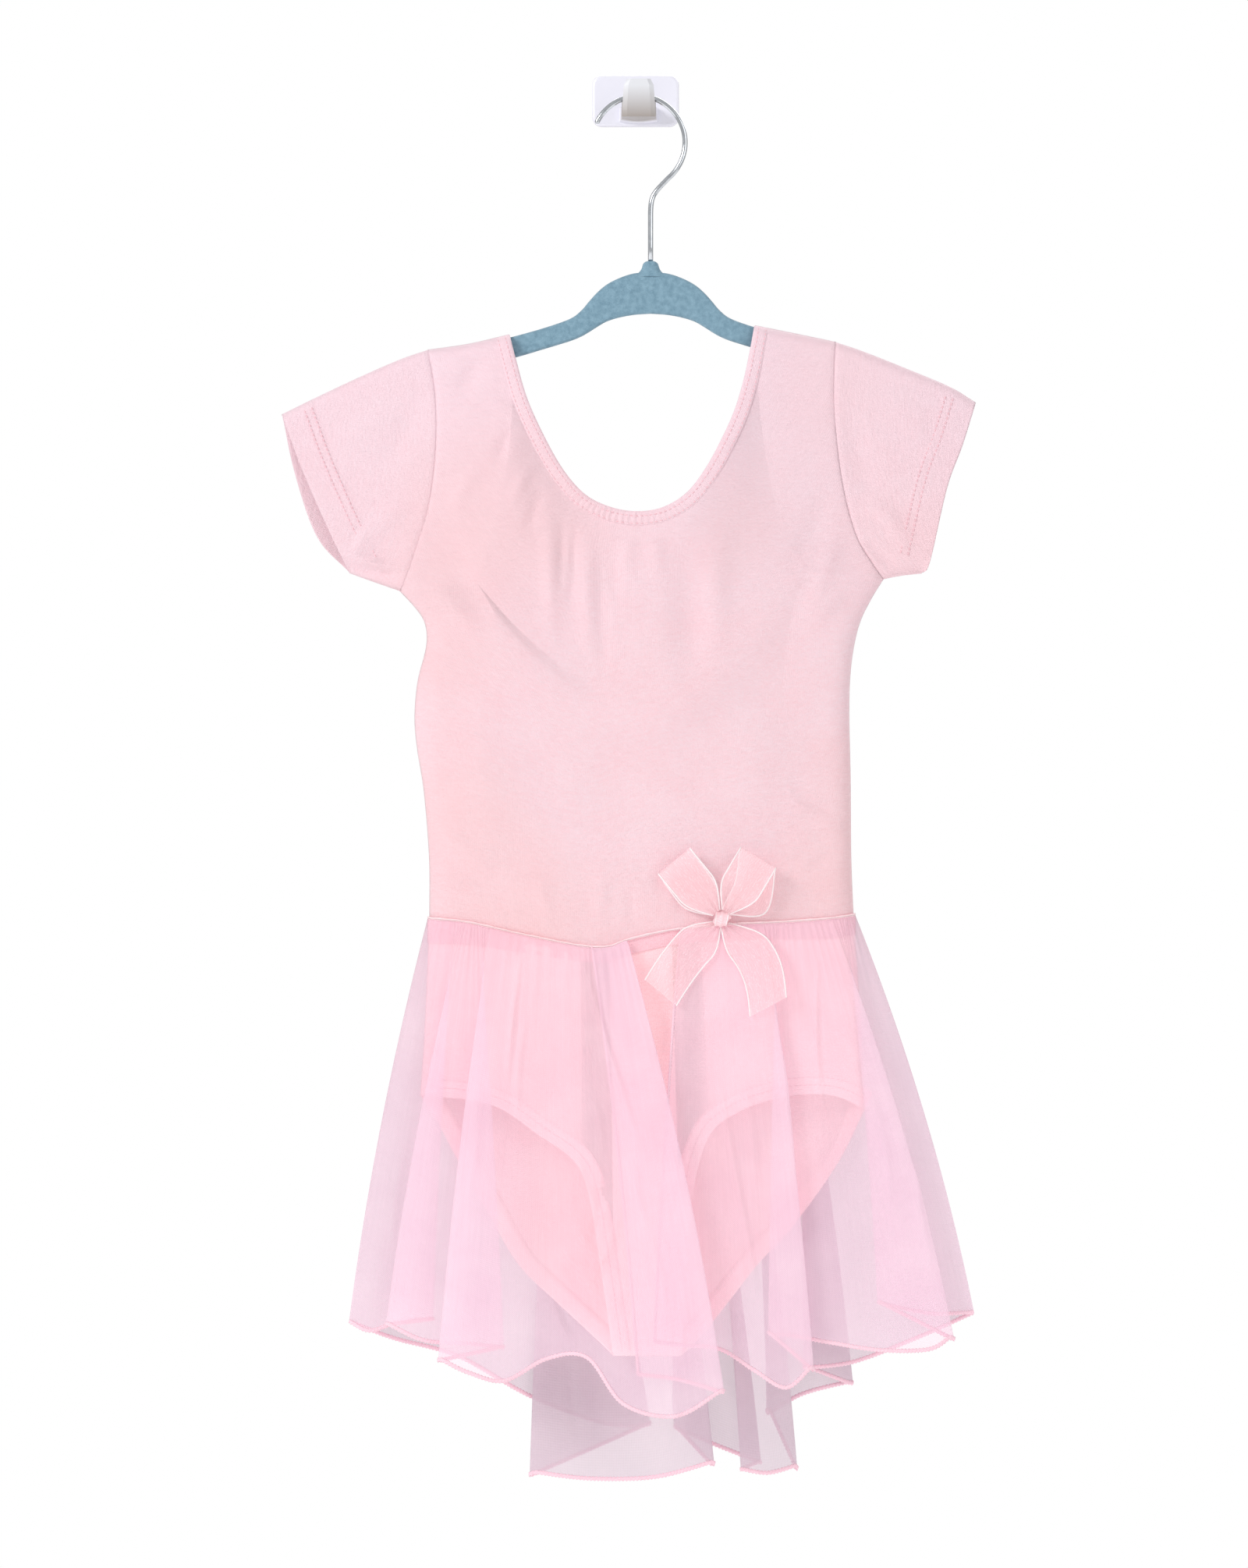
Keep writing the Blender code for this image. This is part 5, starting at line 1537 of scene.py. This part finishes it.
def overlock(name, line, width=1.25, thick=0.6):
    run = run_of(line)
    even = np.arange(0, run[-1], OVERLOCK_STEP)
    path = read_at(even, run, line)
    ahead = unit(np.gradient(path, axis=0))
    upright = square_to(ahead, np.tile((0.0, 0.0, 1.0), (len(path), 1)))
    side = np.cross(ahead, upright)
    columns = []
    for k in range(OVERLOCK_SIDES):
        turn = 2 * math.pi * k / OVERLOCK_SIDES
        loops = 1 + LOOP_SWELL * np.sin(2 * math.pi * even / LOOP_PITCH + turn)
        reach = upright * math.cos(turn) * width + side * math.sin(turn) * thick
        columns.append(path + upright * width * 0.5 + reach * loops[:, None])
    grid = np.stack(columns, axis=1)
    piece = cloth_mesh(name, grid, overlock_thread, ring=True)
    return wear(piece, "chiffon")


for name, (piece, grid) in skirts.items():
    overlock("hem_" + name, grid[-1])
overlock("hem_over_edge", skirts["chiffon_over"][1][:, -1], 0.9, 0.5)
overlock("hem_under_edge", skirts["chiffon_under"][1][:, 0], 0.9, 0.5)
print("overlocked edges:", len(skirts) + 2)

# %% [markdown]
# ## The waist seam
# Where leotard, brief and chiffon are sewn together a small roll of jersey shows, and behind
# the chiffon the overlocked seam allowance hangs as a pale band. Both run all the way round.


# %% The roll on the seam and the allowance under the chiffon
ROLL_RADIUS = 0.9
ROLL_OUT = -0.1
ROLL_RISE = 0.5
ALLOWANCE_OUT = -0.8
ALLOWANCE_DEPTHS = {"x": (-127, -90, -40, 60, 134), "deep": (15.0, 12.0, 9.0, 9.0, 12.0)}


def tube(line, side, up, wide, high, sides):
    """A grid of rings round a line, wide along one direction and high along another."""
    columns = []
    for k in range(sides):
        turn = 2 * math.pi * k / sides
        columns.append(line + side * (math.cos(turn) * wide) + up * (math.sin(turn) * high))
    return np.stack(columns, axis=1)


def waist_places(count):
    return np.linspace(WAIST[0][0], WAIST[-1][0], count)


def seam_roll(facing):
    ring = waist_ring(waist_places(420), facing, ROLL_OUT)
    ring[:, 2] += ROLL_RISE
    run = run_of(ring)[:, None]
    radius = ROLL_RADIUS * (1 + 0.12 * np.sin(run / 1.6) + 0.1 * np.sin(run / 5.3))
    outwards = np.array((0.0, facing, 0.0))
    return tube(ring, outwards, np.array((0.0, 0.0, 1.0)), radius, radius * 0.9, 10)


def allowance(facing):
    """A band between brief and chiffon that hangs from the seam, deeper at the left side."""
    ring = waist_ring(waist_places(300), facing, ALLOWANCE_OUT)
    deep = np.interp(ring[:, 0], ALLOWANCE_DEPTHS["x"], ALLOWANCE_DEPTHS["deep"])
    run = run_of(ring)
    waves = 0.12 * np.sin(run / 1.9) + 0.1 * np.sin(run / 4.1)
    rows = []
    for share in np.linspace(0, 1, 9):
        row = ring.copy()
        row[:, 2] -= deep * share
        row[:, 1] += facing * waves * share
        rows.append(row)
    return np.array(rows)


for facing, side in SIDE_NAMES.items():
    # The roll wears the paler, glowing jersey: painted light
    roll = cloth_mesh("waist_roll_" + side, seam_roll(facing), lit_seam_knit, ring=True)
    wear(roll, "knit")
    band = cloth_mesh("seam_allowance_" + side, allowance(facing), allowance_knit)
    wear(band, "knit")
    print("waist seam,", side, "with an allowance up to", max(ALLOWANCE_DEPTHS["deep"]), "mm deep")

# %% [markdown]
# ## The bow
# One length of organza is folded into two loops and two tails, and a turn of the same ribbon
# makes the knot. The ribbon keeps its width but gathers to almost nothing at the knot, so its
# satin edges run together there.

# %% The bow's places and sizes
BOW_KNOT = (52.8, -507.8)
KNOT_RADIUS = 4.6
KNOT_HALF_DEPTH = 3.0
KNOT_OVERLAP = 0.5
RIBBON = 1.0
RIBBON_WIDTH = 25.0
RIBBON_GATHERED = 5.6
RIBBON_COLUMNS = 25
GATHER_REACH = 0.9

# Where each end lies, and how far the ribbon leans out of its own plane on the way
LOOPS = {"left": (23.8, -472.4, 0.0, -2.0), "right": (75.1, -470.4, 5.0, -9.0)}
LOOP_BULGE = 4.6
LOOP_START = 0.34
LOOP_OPEN_FROM = 0.5
TAILS = {"left": (15.6, -552.7, -1.5, 2.0), "right": (81.1, -561.4, 7.0, 3.0)}
TAIL_START = 2.0
TAIL_LIFT = 5.0
TAIL_OPEN_FROM = 0.35


def bow_back():
    """How far forward the skirt's top edge stands at the bow."""
    x, z = BOW_KNOT
    surface = HANG_Y - float(half_depth(np.array(x), np.array(z)))
    return surface - KNIT / 2 - WAIST_GAP - CHIFFON - SEAM


def ribbon_strip(path, widths, across, gather):
    """A ribbon's grid along a path. Gather folds it lengthwise where it is narrow."""
    offsets = np.linspace(-0.5, 0.5, RIBBON_COLUMNS)
    grid = path[:, None, :] + offsets[None, :, None] * widths[:, None, None] * across
    pleat = np.cos(offsets * 6 * math.pi)[None, :] * gather[:, None]
    grid[..., 1] -= pleat
    thread = np.zeros(grid.shape)
    thread[..., 0] = offsets[None, :] * RIBBON_WIDTH
    thread[..., 1] = run_of(path)[:, None]
    return grid, thread


print("the bow stands", round(HANG_Y - bow_back(), 1), "mm out of the hanging plane")


# %% The paths of loops and tails
def from_knot(end_x, end_z):
    """How far an end is from the knot, and in which direction."""
    knot_x, knot_z = BOW_KNOT
    length = math.hypot(end_x - knot_x, end_z - knot_z)
    return length, np.array(((end_x - knot_x) / length, 0.0, (end_z - knot_z) / length))


def at_knot(out):
    """The place of the knot, this far in front of the skirt's top edge."""
    return np.array((BOW_KNOT[0], bow_back() - out, BOW_KNOT[1]))


def loop_path(end_x, end_z, lean_x, lean_z):
    length, axis = from_knot(end_x, end_z)
    start = at_knot(LOOP_BULGE + RIBBON) + axis * (KNOT_RADIUS + KNOT_OVERLAP)
    turn = np.linspace(LOOP_START, 2 * math.pi - LOOP_START, 80)
    reach = (math.cos(LOOP_START) - np.cos(turn)) / (1 + math.cos(LOOP_START))
    path = start + axis * ((length - KNOT_RADIUS) * reach)[:, None]
    path[:, 1] -= LOOP_BULGE * np.sin(turn)
    lean = np.where(turn > math.pi, np.sin(turn - math.pi) ** 3, 0.0)[:, None]
    path = path + lean * np.array((lean_x, 0.0, lean_z))
    return path, axis, reach


def tail_path(end_x, end_z, kink_x, kink_z):
    length, axis = from_knot(end_x, end_z)
    share = np.linspace(0, 1, 60)
    start = at_knot(TAIL_START) + axis * (KNOT_RADIUS - KNOT_OVERLAP)
    path = start + axis * ((length - KNOT_RADIUS + 1.0) * share)[:, None]
    path[:, 0] += kink_x * np.sin(math.pi * share)
    path[:, 1] -= TAIL_LIFT * share + 0.8 * np.sin(share * 7.0) * share
    path[:, 2] += kink_z * np.sin(math.pi * share)
    return path, axis, share


# %% Loops and tails, each with its satin edges
SATIN_WIDE = 0.5
SATIN_THICK = 0.22


def satin_edge(name, line, outwards):
    """A narrow woven edge: a flat cord along the ribbon's side."""
    ahead = unit(np.gradient(line, axis=0))
    side = square_to(ahead, outwards)
    grid = tube(line, side, np.cross(ahead, side), SATIN_WIDE, SATIN_THICK, 6)
    return wear(cloth_mesh(name, grid, satin_finish, ring=True), "ribbon")


def ribbon_piece(part, path, axis, reach, narrow_until):
    """A loop or a tail. Its reach goes from 0 at the knot to 1 where it is furthest out."""
    name = "ribbon_" + part
    across = np.array((-axis[2], 0.0, axis[0]))
    opened = np.sin(math.pi / 2 * np.clip(reach / narrow_until, 0, 1)) ** 1.1
    widths = RIBBON_GATHERED + (RIBBON_WIDTH - RIBBON_GATHERED) * opened
    gather = GATHER_REACH * (1 - opened)
    grid, thread = ribbon_strip(path, widths, across, gather)
    piece = wear(cloth_mesh(name, grid, ribbon_finish, thread=thread), "ribbon", "bow_" + part)
    edges = []
    for column, label in ((0, "a"), (-1, "b")):
        outwards = grid[:, column] - grid[:, RIBBON_COLUMNS // 2]
        edges.append(satin_edge(name + "_edge_" + label, grid[:, column], outwards))
    return piece, edges, run_of(path)[-1] * MM


bow = {}
for side, place in LOOPS.items():
    bow["loop_" + side] = ribbon_piece("loop_" + side, *loop_path(*place), LOOP_OPEN_FROM)
for side, place in TAILS.items():
    bow["tail_" + side] = ribbon_piece("tail_" + side, *tail_path(*place), TAIL_OPEN_FROM)
print("bow:", ", ".join(bow))


# %% The knot: a puffed band of ribbon round the middle, pleated along its length
KNOT_EDGE_ROWS = {"a": 6, "b": 34}


def knot_grid():
    centre = at_knot(KNOT_HALF_DEPTH)
    turns = np.linspace(0, 2 * math.pi, 60, endpoint=False)
    rows = []
    for share in np.linspace(-1, 1, 41):
        round_off = (1 - abs(share) ** 3.2) ** 0.45
        pleat = 1 + 0.07 * math.cos(share * 8.5) * round_off
        x = KNOT_RADIUS * 1.08 * share * (1 + 0.08 * np.cos(turns)) + 0.7 * np.cos(turns)
        z = KNOT_RADIUS * 1.02 * round_off * pleat * np.cos(turns)
        y = KNOT_HALF_DEPTH * 1.05 * round_off * pleat * np.sin(turns)
        rows.append(centre + np.column_stack((x, y, z)))
    return np.array(rows)


knot_rows = knot_grid()
knot = cloth_mesh("ribbon_knot", knot_rows, knot_finish, ring=True)
wear(knot, "ribbon", "bow_knot")
knot_middle = knot_rows.mean(axis=(0, 1))
for label, row in KNOT_EDGE_ROWS.items():
    loop = np.vstack((knot_rows[row], knot_rows[row][:2]))
    satin_edge("ribbon_knot_edge_" + label, loop, loop - knot_middle)
print("knot:", np.round(np.ptp(knot_rows, axis=(0, 1)), 1), "mm")

# %% [markdown]
# ## The hanger
# The hanger's body is a thin moulded bar with rounded edges. Its outline is a table of top and
# bottom heights along one arm, mirrored for the other, and the sections between them are
# smooth, with a low rim along both edges where the mould closes.

# %% The hanger's body
HANGER_X = 9.2
HANGER_THICK = 5.0
HANGER_SIDES = 40
HANGER_TIP_HALF = 3.4
RIM_HEIGHT = 0.35
RIM_INSET = 1.6
RIM_WIDTH = 0.9
Station = namedtuple("Station", ("distance", "top", "bottom"))
HANGER_ARM = (
    (0.0, -109.0, -134.6),
    (10.0, -109.6, -135.3),
    (19.0, -112.4, -136.9),
    (27.0, -116.5, -139.4),
    (33.0, -121.5, -142.8),
    (38.0, -127.0, -146.0),
    (43.0, -132.8, -148.8),
    (50.0, -137.8, -151.6),
    (66.0, -143.4, -156.5),
    (86.0, -149.0, -162.3),
    (112.0, -155.4, -168.3),
    (137.0, -162.2, -174.5),
    (152.0, -168.0, -179.4),
    (166.0, -174.0, -183.6),
    (173.0, -178.0, -184.6),
    (176.0, -180.4, -183.6),
)
COLLAR_TOP = -102.2
SEAT = 0.95


def ridge_height(x):
    """The height of the dress's shoulder and sleeve line over the hanger."""
    sleeve_left, shoulder_left, shoulder_right, sleeve_right = (
        smooth_line(line, LINE_STEPS)
        for line in (SLEEVE_TOP_LEFT, SHOULDER_LEFT, SHOULDER_RIGHT, SLEEVE_TOP_RIGHT)
    )
    left = np.vstack((sleeve_left[::-1], shoulder_left[1:]))
    right = np.vstack((shoulder_right, sleeve_right[1:]))
    if x < left[-1, 0]:
        return float(np.interp(x, left[:, 0], left[:, 1]))
    if x > right[0, 0]:
        return float(np.interp(x, right[:, 0], right[:, 1]))
    return math.inf


def squared(waves, power):
    """A round's own sine or cosine, filled out towards the corners of its box."""
    return np.sign(waves) * np.abs(waves) ** power


def hanger_grid():
    arm = [Station(*row) for row in smooth_line(HANGER_ARM, 6)]
    other_arm = [row._replace(distance=-row.distance) for row in arm[::-1]]
    turn = 2 * math.pi * (np.arange(HANGER_SIDES) + 0.5) / HANGER_SIDES
    rings = []
    for station in other_arm + arm[1:]:
        x = HANGER_X + station.distance
        top = min(station.top, ridge_height(x) - SEAT - SEAM)
        middle = (top + station.bottom) / 2
        half = (top - station.bottom) / 2
        thick = HANGER_THICK / 2 * min(1.0, half / HANGER_TIP_HALF)
        y = squared(np.cos(turn), 0.6) * thick
        z = squared(np.sin(turn), 0.8) * half
        rim = RIM_HEIGHT * hump(np.abs(z), half - RIM_INSET, RIM_WIDTH) * min(1.0, half / 6)
        y = y + np.sign(np.cos(turn)) * rim
        rings.append(np.column_stack((np.full(HANGER_SIDES, x), HANG_Y + y, middle + z)))
    return np.array(rings)


def capped(piece):
    """Closes the open ends of a tube."""
    bm = bmesh.new()
    bm.from_mesh(piece.data)
    bmesh.ops.holes_fill(bm, edges=[e for e in bm.edges if e.is_boundary])
    bmesh.ops.recalc_face_normals(bm, faces=bm.faces)
    bm.to_mesh(piece.data)
    bm.free()
    return piece


hanger = capped(cloth_mesh("hanger_flocked", hanger_grid(), flock_finish, ring=True))
wear(hanger, "flock", "hanger_body")
print("hanger:", 2 * HANGER_ARM[-1][0], "mm from tip to tip")


# %% Its collar, a rounded stub that grips the wire and runs into the bar
COLLAR_PROFILE = (
    (10.5, -111.6),
    (7.6, -109.4),
    (5.9, -107.4),
    (5.2, -105.6),
    (4.7, -104.0),
    (3.7, -102.8),
    (2.5, -102.25),
    (1.95, -102.4),
    (1.8, -104.5),
)
COLLAR_SIDES = 36
COLLAR_PROUD = 0.12


def collar_grid():
    turns = np.linspace(0, 2 * math.pi, COLLAR_SIDES, endpoint=False)
    rows = []
    for radius, z in smooth_line(COLLAR_PROFILE, 5):
        deep = min(radius, HANGER_THICK / 2 + COLLAR_PROUD)
        x = HANGER_X + radius * np.cos(turns)
        rows.append(np.column_stack((x, HANG_Y + deep * np.sin(turns), np.full(COLLAR_SIDES, z))))
    return np.array(rows)


collar = cloth_mesh("hanger_collar", collar_grid(), flock_finish, ring=True)
wear(collar, "flock")
print("collar:", COLLAR_TOP, "mm down from the wall hook's middle at its top")

# %% [markdown]
# ## The wire and the wall hook
# The wire is one bent rod, so it is a tube along the model's own path, with a rounded tip. The
# wall hook's solid already has the right form: it only needs softened edges and its plastic.

# %% The wire hook
WIRE = 3.2
HOOK_CENTRE = (1.9, -28.8)
HOOK_RADIUS = 28.6
HOOK_TIP_ANGLE = 154.0
HOOK_TURN_ANGLE = -50.0
HOOK_BENDS = ((13.2, -58.3), (10.2, -63.6), (9.3, -70.0), (9.2, -80.0))
HOOK_STRAIGHT = -90.0
HOOK_FOOT = COLLAR_TOP - 6.0
WIRE_SIDES = 20

# The rounded tip: how far past the path's end each ring lies, and each ring's share of the radius
TIP_PAST = (1.2, 0.7, 0.3)
TIP_SHARES = (0.25, 0.72, 0.92)


def hook_path():
    centre_x, centre_z = HOOK_CENTRE
    angles = np.radians(np.linspace(HOOK_TIP_ANGLE, HOOK_TURN_ANGLE, 80))
    x = centre_x + HOOK_RADIUS * np.cos(angles)
    z = centre_z + HOOK_RADIUS * np.sin(angles)
    arc = np.column_stack((x, z))
    bends = smooth_line((tuple(arc[-1]),) + HOOK_BENDS, 10)[1:]
    path = np.vstack((arc, bends, ((HANGER_X, HOOK_STRAIGHT), (HANGER_X, HOOK_FOOT))))
    tip = path[0] + unit(path[0] - path[1]) * np.array(TIP_PAST)[:, None]
    return np.vstack((tip, path))


def wire_grid(path):
    line = np.insert(path, 1, HANG_Y, axis=1)
    ahead = unit(np.gradient(path, axis=0))
    side = np.column_stack((-ahead[:, 1], np.zeros(len(path)), ahead[:, 0]))
    radius = np.full((len(path), 1), WIRE / 2)
    radius[: len(TIP_SHARES), 0] *= TIP_SHARES
    return tube(line, side, np.array((0.0, 1.0, 0.0)), radius, radius, WIRE_SIDES)


path = hook_path()
wire = cloth_mesh("hanger_wire", wire_grid(path), chrome_finish, ring=True)
wear(capped(wire), "chrome", "hanger_hook")
print("wire:", round(run_of(path)[-1]), "mm long")

# %% The wall hook keeps its solid, with softer edges
HOOK_EDGE = 0.8
HOOK_EDGE_ANGLE = 35
wall_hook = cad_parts["wall_hook"]
wall_hook.data.materials.clear()
wall_hook.data.materials.append(plastic_finish)
soft_edge = wall_hook.modifiers.new("soft_edge", "BEVEL")
soft_edge.width = HOOK_EDGE * MM
soft_edge.segments = 3
soft_edge.limit_method = "ANGLE"
soft_edge.angle_limit = math.radians(HOOK_EDGE_ANGLE)
soft_edge.harden_normals = True
print("wall hook: edges rounded by", HOOK_EDGE, "mm")

# %% [markdown]
# ## The cut size of each piece
# A leotard or sleeve piece is cut to its own flat outline, and its area is that of the polygon.
# Its cut size and area are printed, and so are the length and area of each ribbon of the bow.


# %% Cut sizes from the outlines
def flat_cut(*edges):
    """The box and the area, in metres, of a flat piece whose (x, z) edges run round it."""
    ring = np.vstack([smooth_line(edge, EDGE_STEPS)[:-1] for edge in edges]) * MM
    onwards = np.roll(ring, -1, axis=0)
    area = abs(np.sum(ring[:, 0] * onwards[:, 1] - ring[:, 1] * onwards[:, 0])) / 2
    return np.ptp(ring, axis=0), float(area)


def declare_flat(piece, rests_on, *edges, halves=1):
    """Prints the cut size and area of a piece cut to its outline. A folded piece has two halves side by
    side.
    """
    (wide, high), area = flat_cut(*edges)
    print(piece.name, "cut", np.round((wide * halves, high), 3), "m, area", round(area * halves, 4))
    wide * halves
    area * halves


# %% The cut sizes of the leotard and sleeves, and the bow's ribbons
for facing, side in SIDE_NAMES.items():
    waist = waist_line(facing)
    legs = LEGS[facing]
    body = (waist, SIDE_RIGHT, ARMHOLE_RIGHT, SHOULDER_RIGHT[::-1])
    body = body + (neck_line(facing)[::-1], SHOULDER_LEFT[::-1], ARMHOLE_LEFT[::-1], SIDE_LEFT[::-1])
    declare_flat(bodices[facing], "hanger_body", *body)
    seat = (waist, BRIEF_SIDE_RIGHT[::-1], legs[1][::-1], CROTCH[::-1], legs[0][::-1], BRIEF_SIDE_LEFT)
    declare_flat(briefs[facing], "leotard_" + side, *seat)
for side, edges in {
    "left": (UNDER_LEFT, CUFF_LEFT_BACK, SLEEVE_TOP_LEFT[::-1], ARMHOLE_LEFT[::-1]),
    "right": (UNDER_RIGHT, CUFF_RIGHT, SLEEVE_TOP_RIGHT[::-1], ARMHOLE_RIGHT[::-1]),
}.items():
    declare_flat(sleeves[side], "hanger_body", *edges, halves=2)
for piece, edges, long in bow.values():
    print(piece.name, "ribbon length", round(long, 4), "area", round(area_of(piece), 5))

# %% [markdown]
# ## Floor, light and camera
# The room is a pale floor and a bright, even studio: one broad soft light from the upper left,
# a weaker one from the right, a third from behind, and a white surrounding that lights less than
# it shows. There is no wall, so the dress can be looked at from every side. The camera looks level
# and straight at it from far off, which keeps its sides parallel.

# %% A pale floor, below what the camera sees
FLOOR_Z = -1150.0
FLOOR_HALF = 1900.0


def floor_grid():
    span = (-FLOOR_HALF, FLOOR_HALF)
    return np.array([[(x, y, FLOOR_Z) for x in span] for y in span])


studio = Finish("studio_white")
grain = studio.noise(30.0, 2.0)
studio.surface(
    Base_Color=studio.blend(grain, (0.93, 0.93, 0.93, 1.0), (0.95, 0.95, 0.95, 1.0)),
    Roughness=0.9,
    Emission_Color=(1.0, 1.0, 1.0, 1.0),
    Emission_Strength=0.2,
)
floor = cloth_mesh("studio_floor", floor_grid(), studio.material)
print("floor:", -FLOOR_Z, "mm below the wall hook")

# %% Soft lights and a bright surrounding
scene = bpy.context.scene
scene.view_settings.view_transform = "Standard"


LIGHT_AIM = (0.0, -0.04, -0.45)
LIGHTS = {
    "key_light": {"place": (-2.3, -1.9, 1.1), "size": (1.1, 1.1), "power": 54.0},
    "fill_light": {"place": (1.9, -2.2, 0.2), "size": (2.0, 2.0), "power": 17.0},
    "back_light": {"place": (0.4, 0.9, 0.6), "size": (1.6, 0.8), "power": 11.0},
}


def soft_light(name, place, size, power):
    light = bpy.data.lights.new(name, "AREA")
    light.shape = "RECTANGLE"
    light.size, light.size_y = size
    light.energy = power
    lamp = bpy.data.objects.new(name, light)
    scene.collection.objects.link(lamp)
    lamp.location = place
    towards = bpy.data.objects.new(name + "_aim", None)
    scene.collection.objects.link(towards)
    towards.location = LIGHT_AIM
    aim = lamp.constraints.new("TRACK_TO")
    aim.target = towards


for name, light in LIGHTS.items():
    soft_light(name, **light)
    print(name, light["power"], "W")

# %% A surrounding that looks whiter to the camera than it lights
ROOM_LIGHT = 0.53
ROOM_SEEN = 1.0
world = bpy.data.worlds.new("bright_room")
scene.world = world
world.use_nodes = True
room = world.node_tree.nodes["Background"]
room.inputs["Color"].default_value = (1.0, 1.0, 1.0, 1.0)
ray = world.node_tree.nodes.new("ShaderNodeLightPath")
level = world.node_tree.nodes.new("ShaderNodeMapRange")
level.inputs["To Min"].default_value = ROOM_LIGHT
level.inputs["To Max"].default_value = ROOM_SEEN
world.node_tree.links.new(ray.outputs["Is Camera Ray"], level.inputs["Value"])
world.node_tree.links.new(level.outputs["Result"], room.inputs["Strength"])
print("surrounding:", ROOM_LIGHT, "as light,", ROOM_SEEN, "as seen")

# %% The camera
PIXEL = 0.48
FRAME_SIZE = (1600, 2010)
ORIGIN_PIXEL = (815, 120)
CAMERA_DISTANCE = 4500.0
DRESS_FRONT = HANG_Y - 14.0
SENSOR = 36.0
camera_data = bpy.data.cameras.new("camera")
camera = bpy.data.objects.new("camera", camera_data)
scene.collection.objects.link(camera)
view_x = (FRAME_SIZE[0] / 2 - ORIGIN_PIXEL[0]) * PIXEL
view_z = (ORIGIN_PIXEL[1] - FRAME_SIZE[1] / 2) * PIXEL
camera.location = (view_x * MM, (DRESS_FRONT - CAMERA_DISTANCE) * MM, view_z * MM)
camera.rotation_euler = (math.pi / 2, 0.0, 0.0)
camera_data.sensor_width = SENSOR
camera_data.lens = SENSOR * CAMERA_DISTANCE / (FRAME_SIZE[1] * PIXEL)
camera_data.clip_end = 50.0
scene.camera = camera
print("camera:", round(camera_data.lens, 1), "mm lens,", CAMERA_DISTANCE / 1000, "m away")
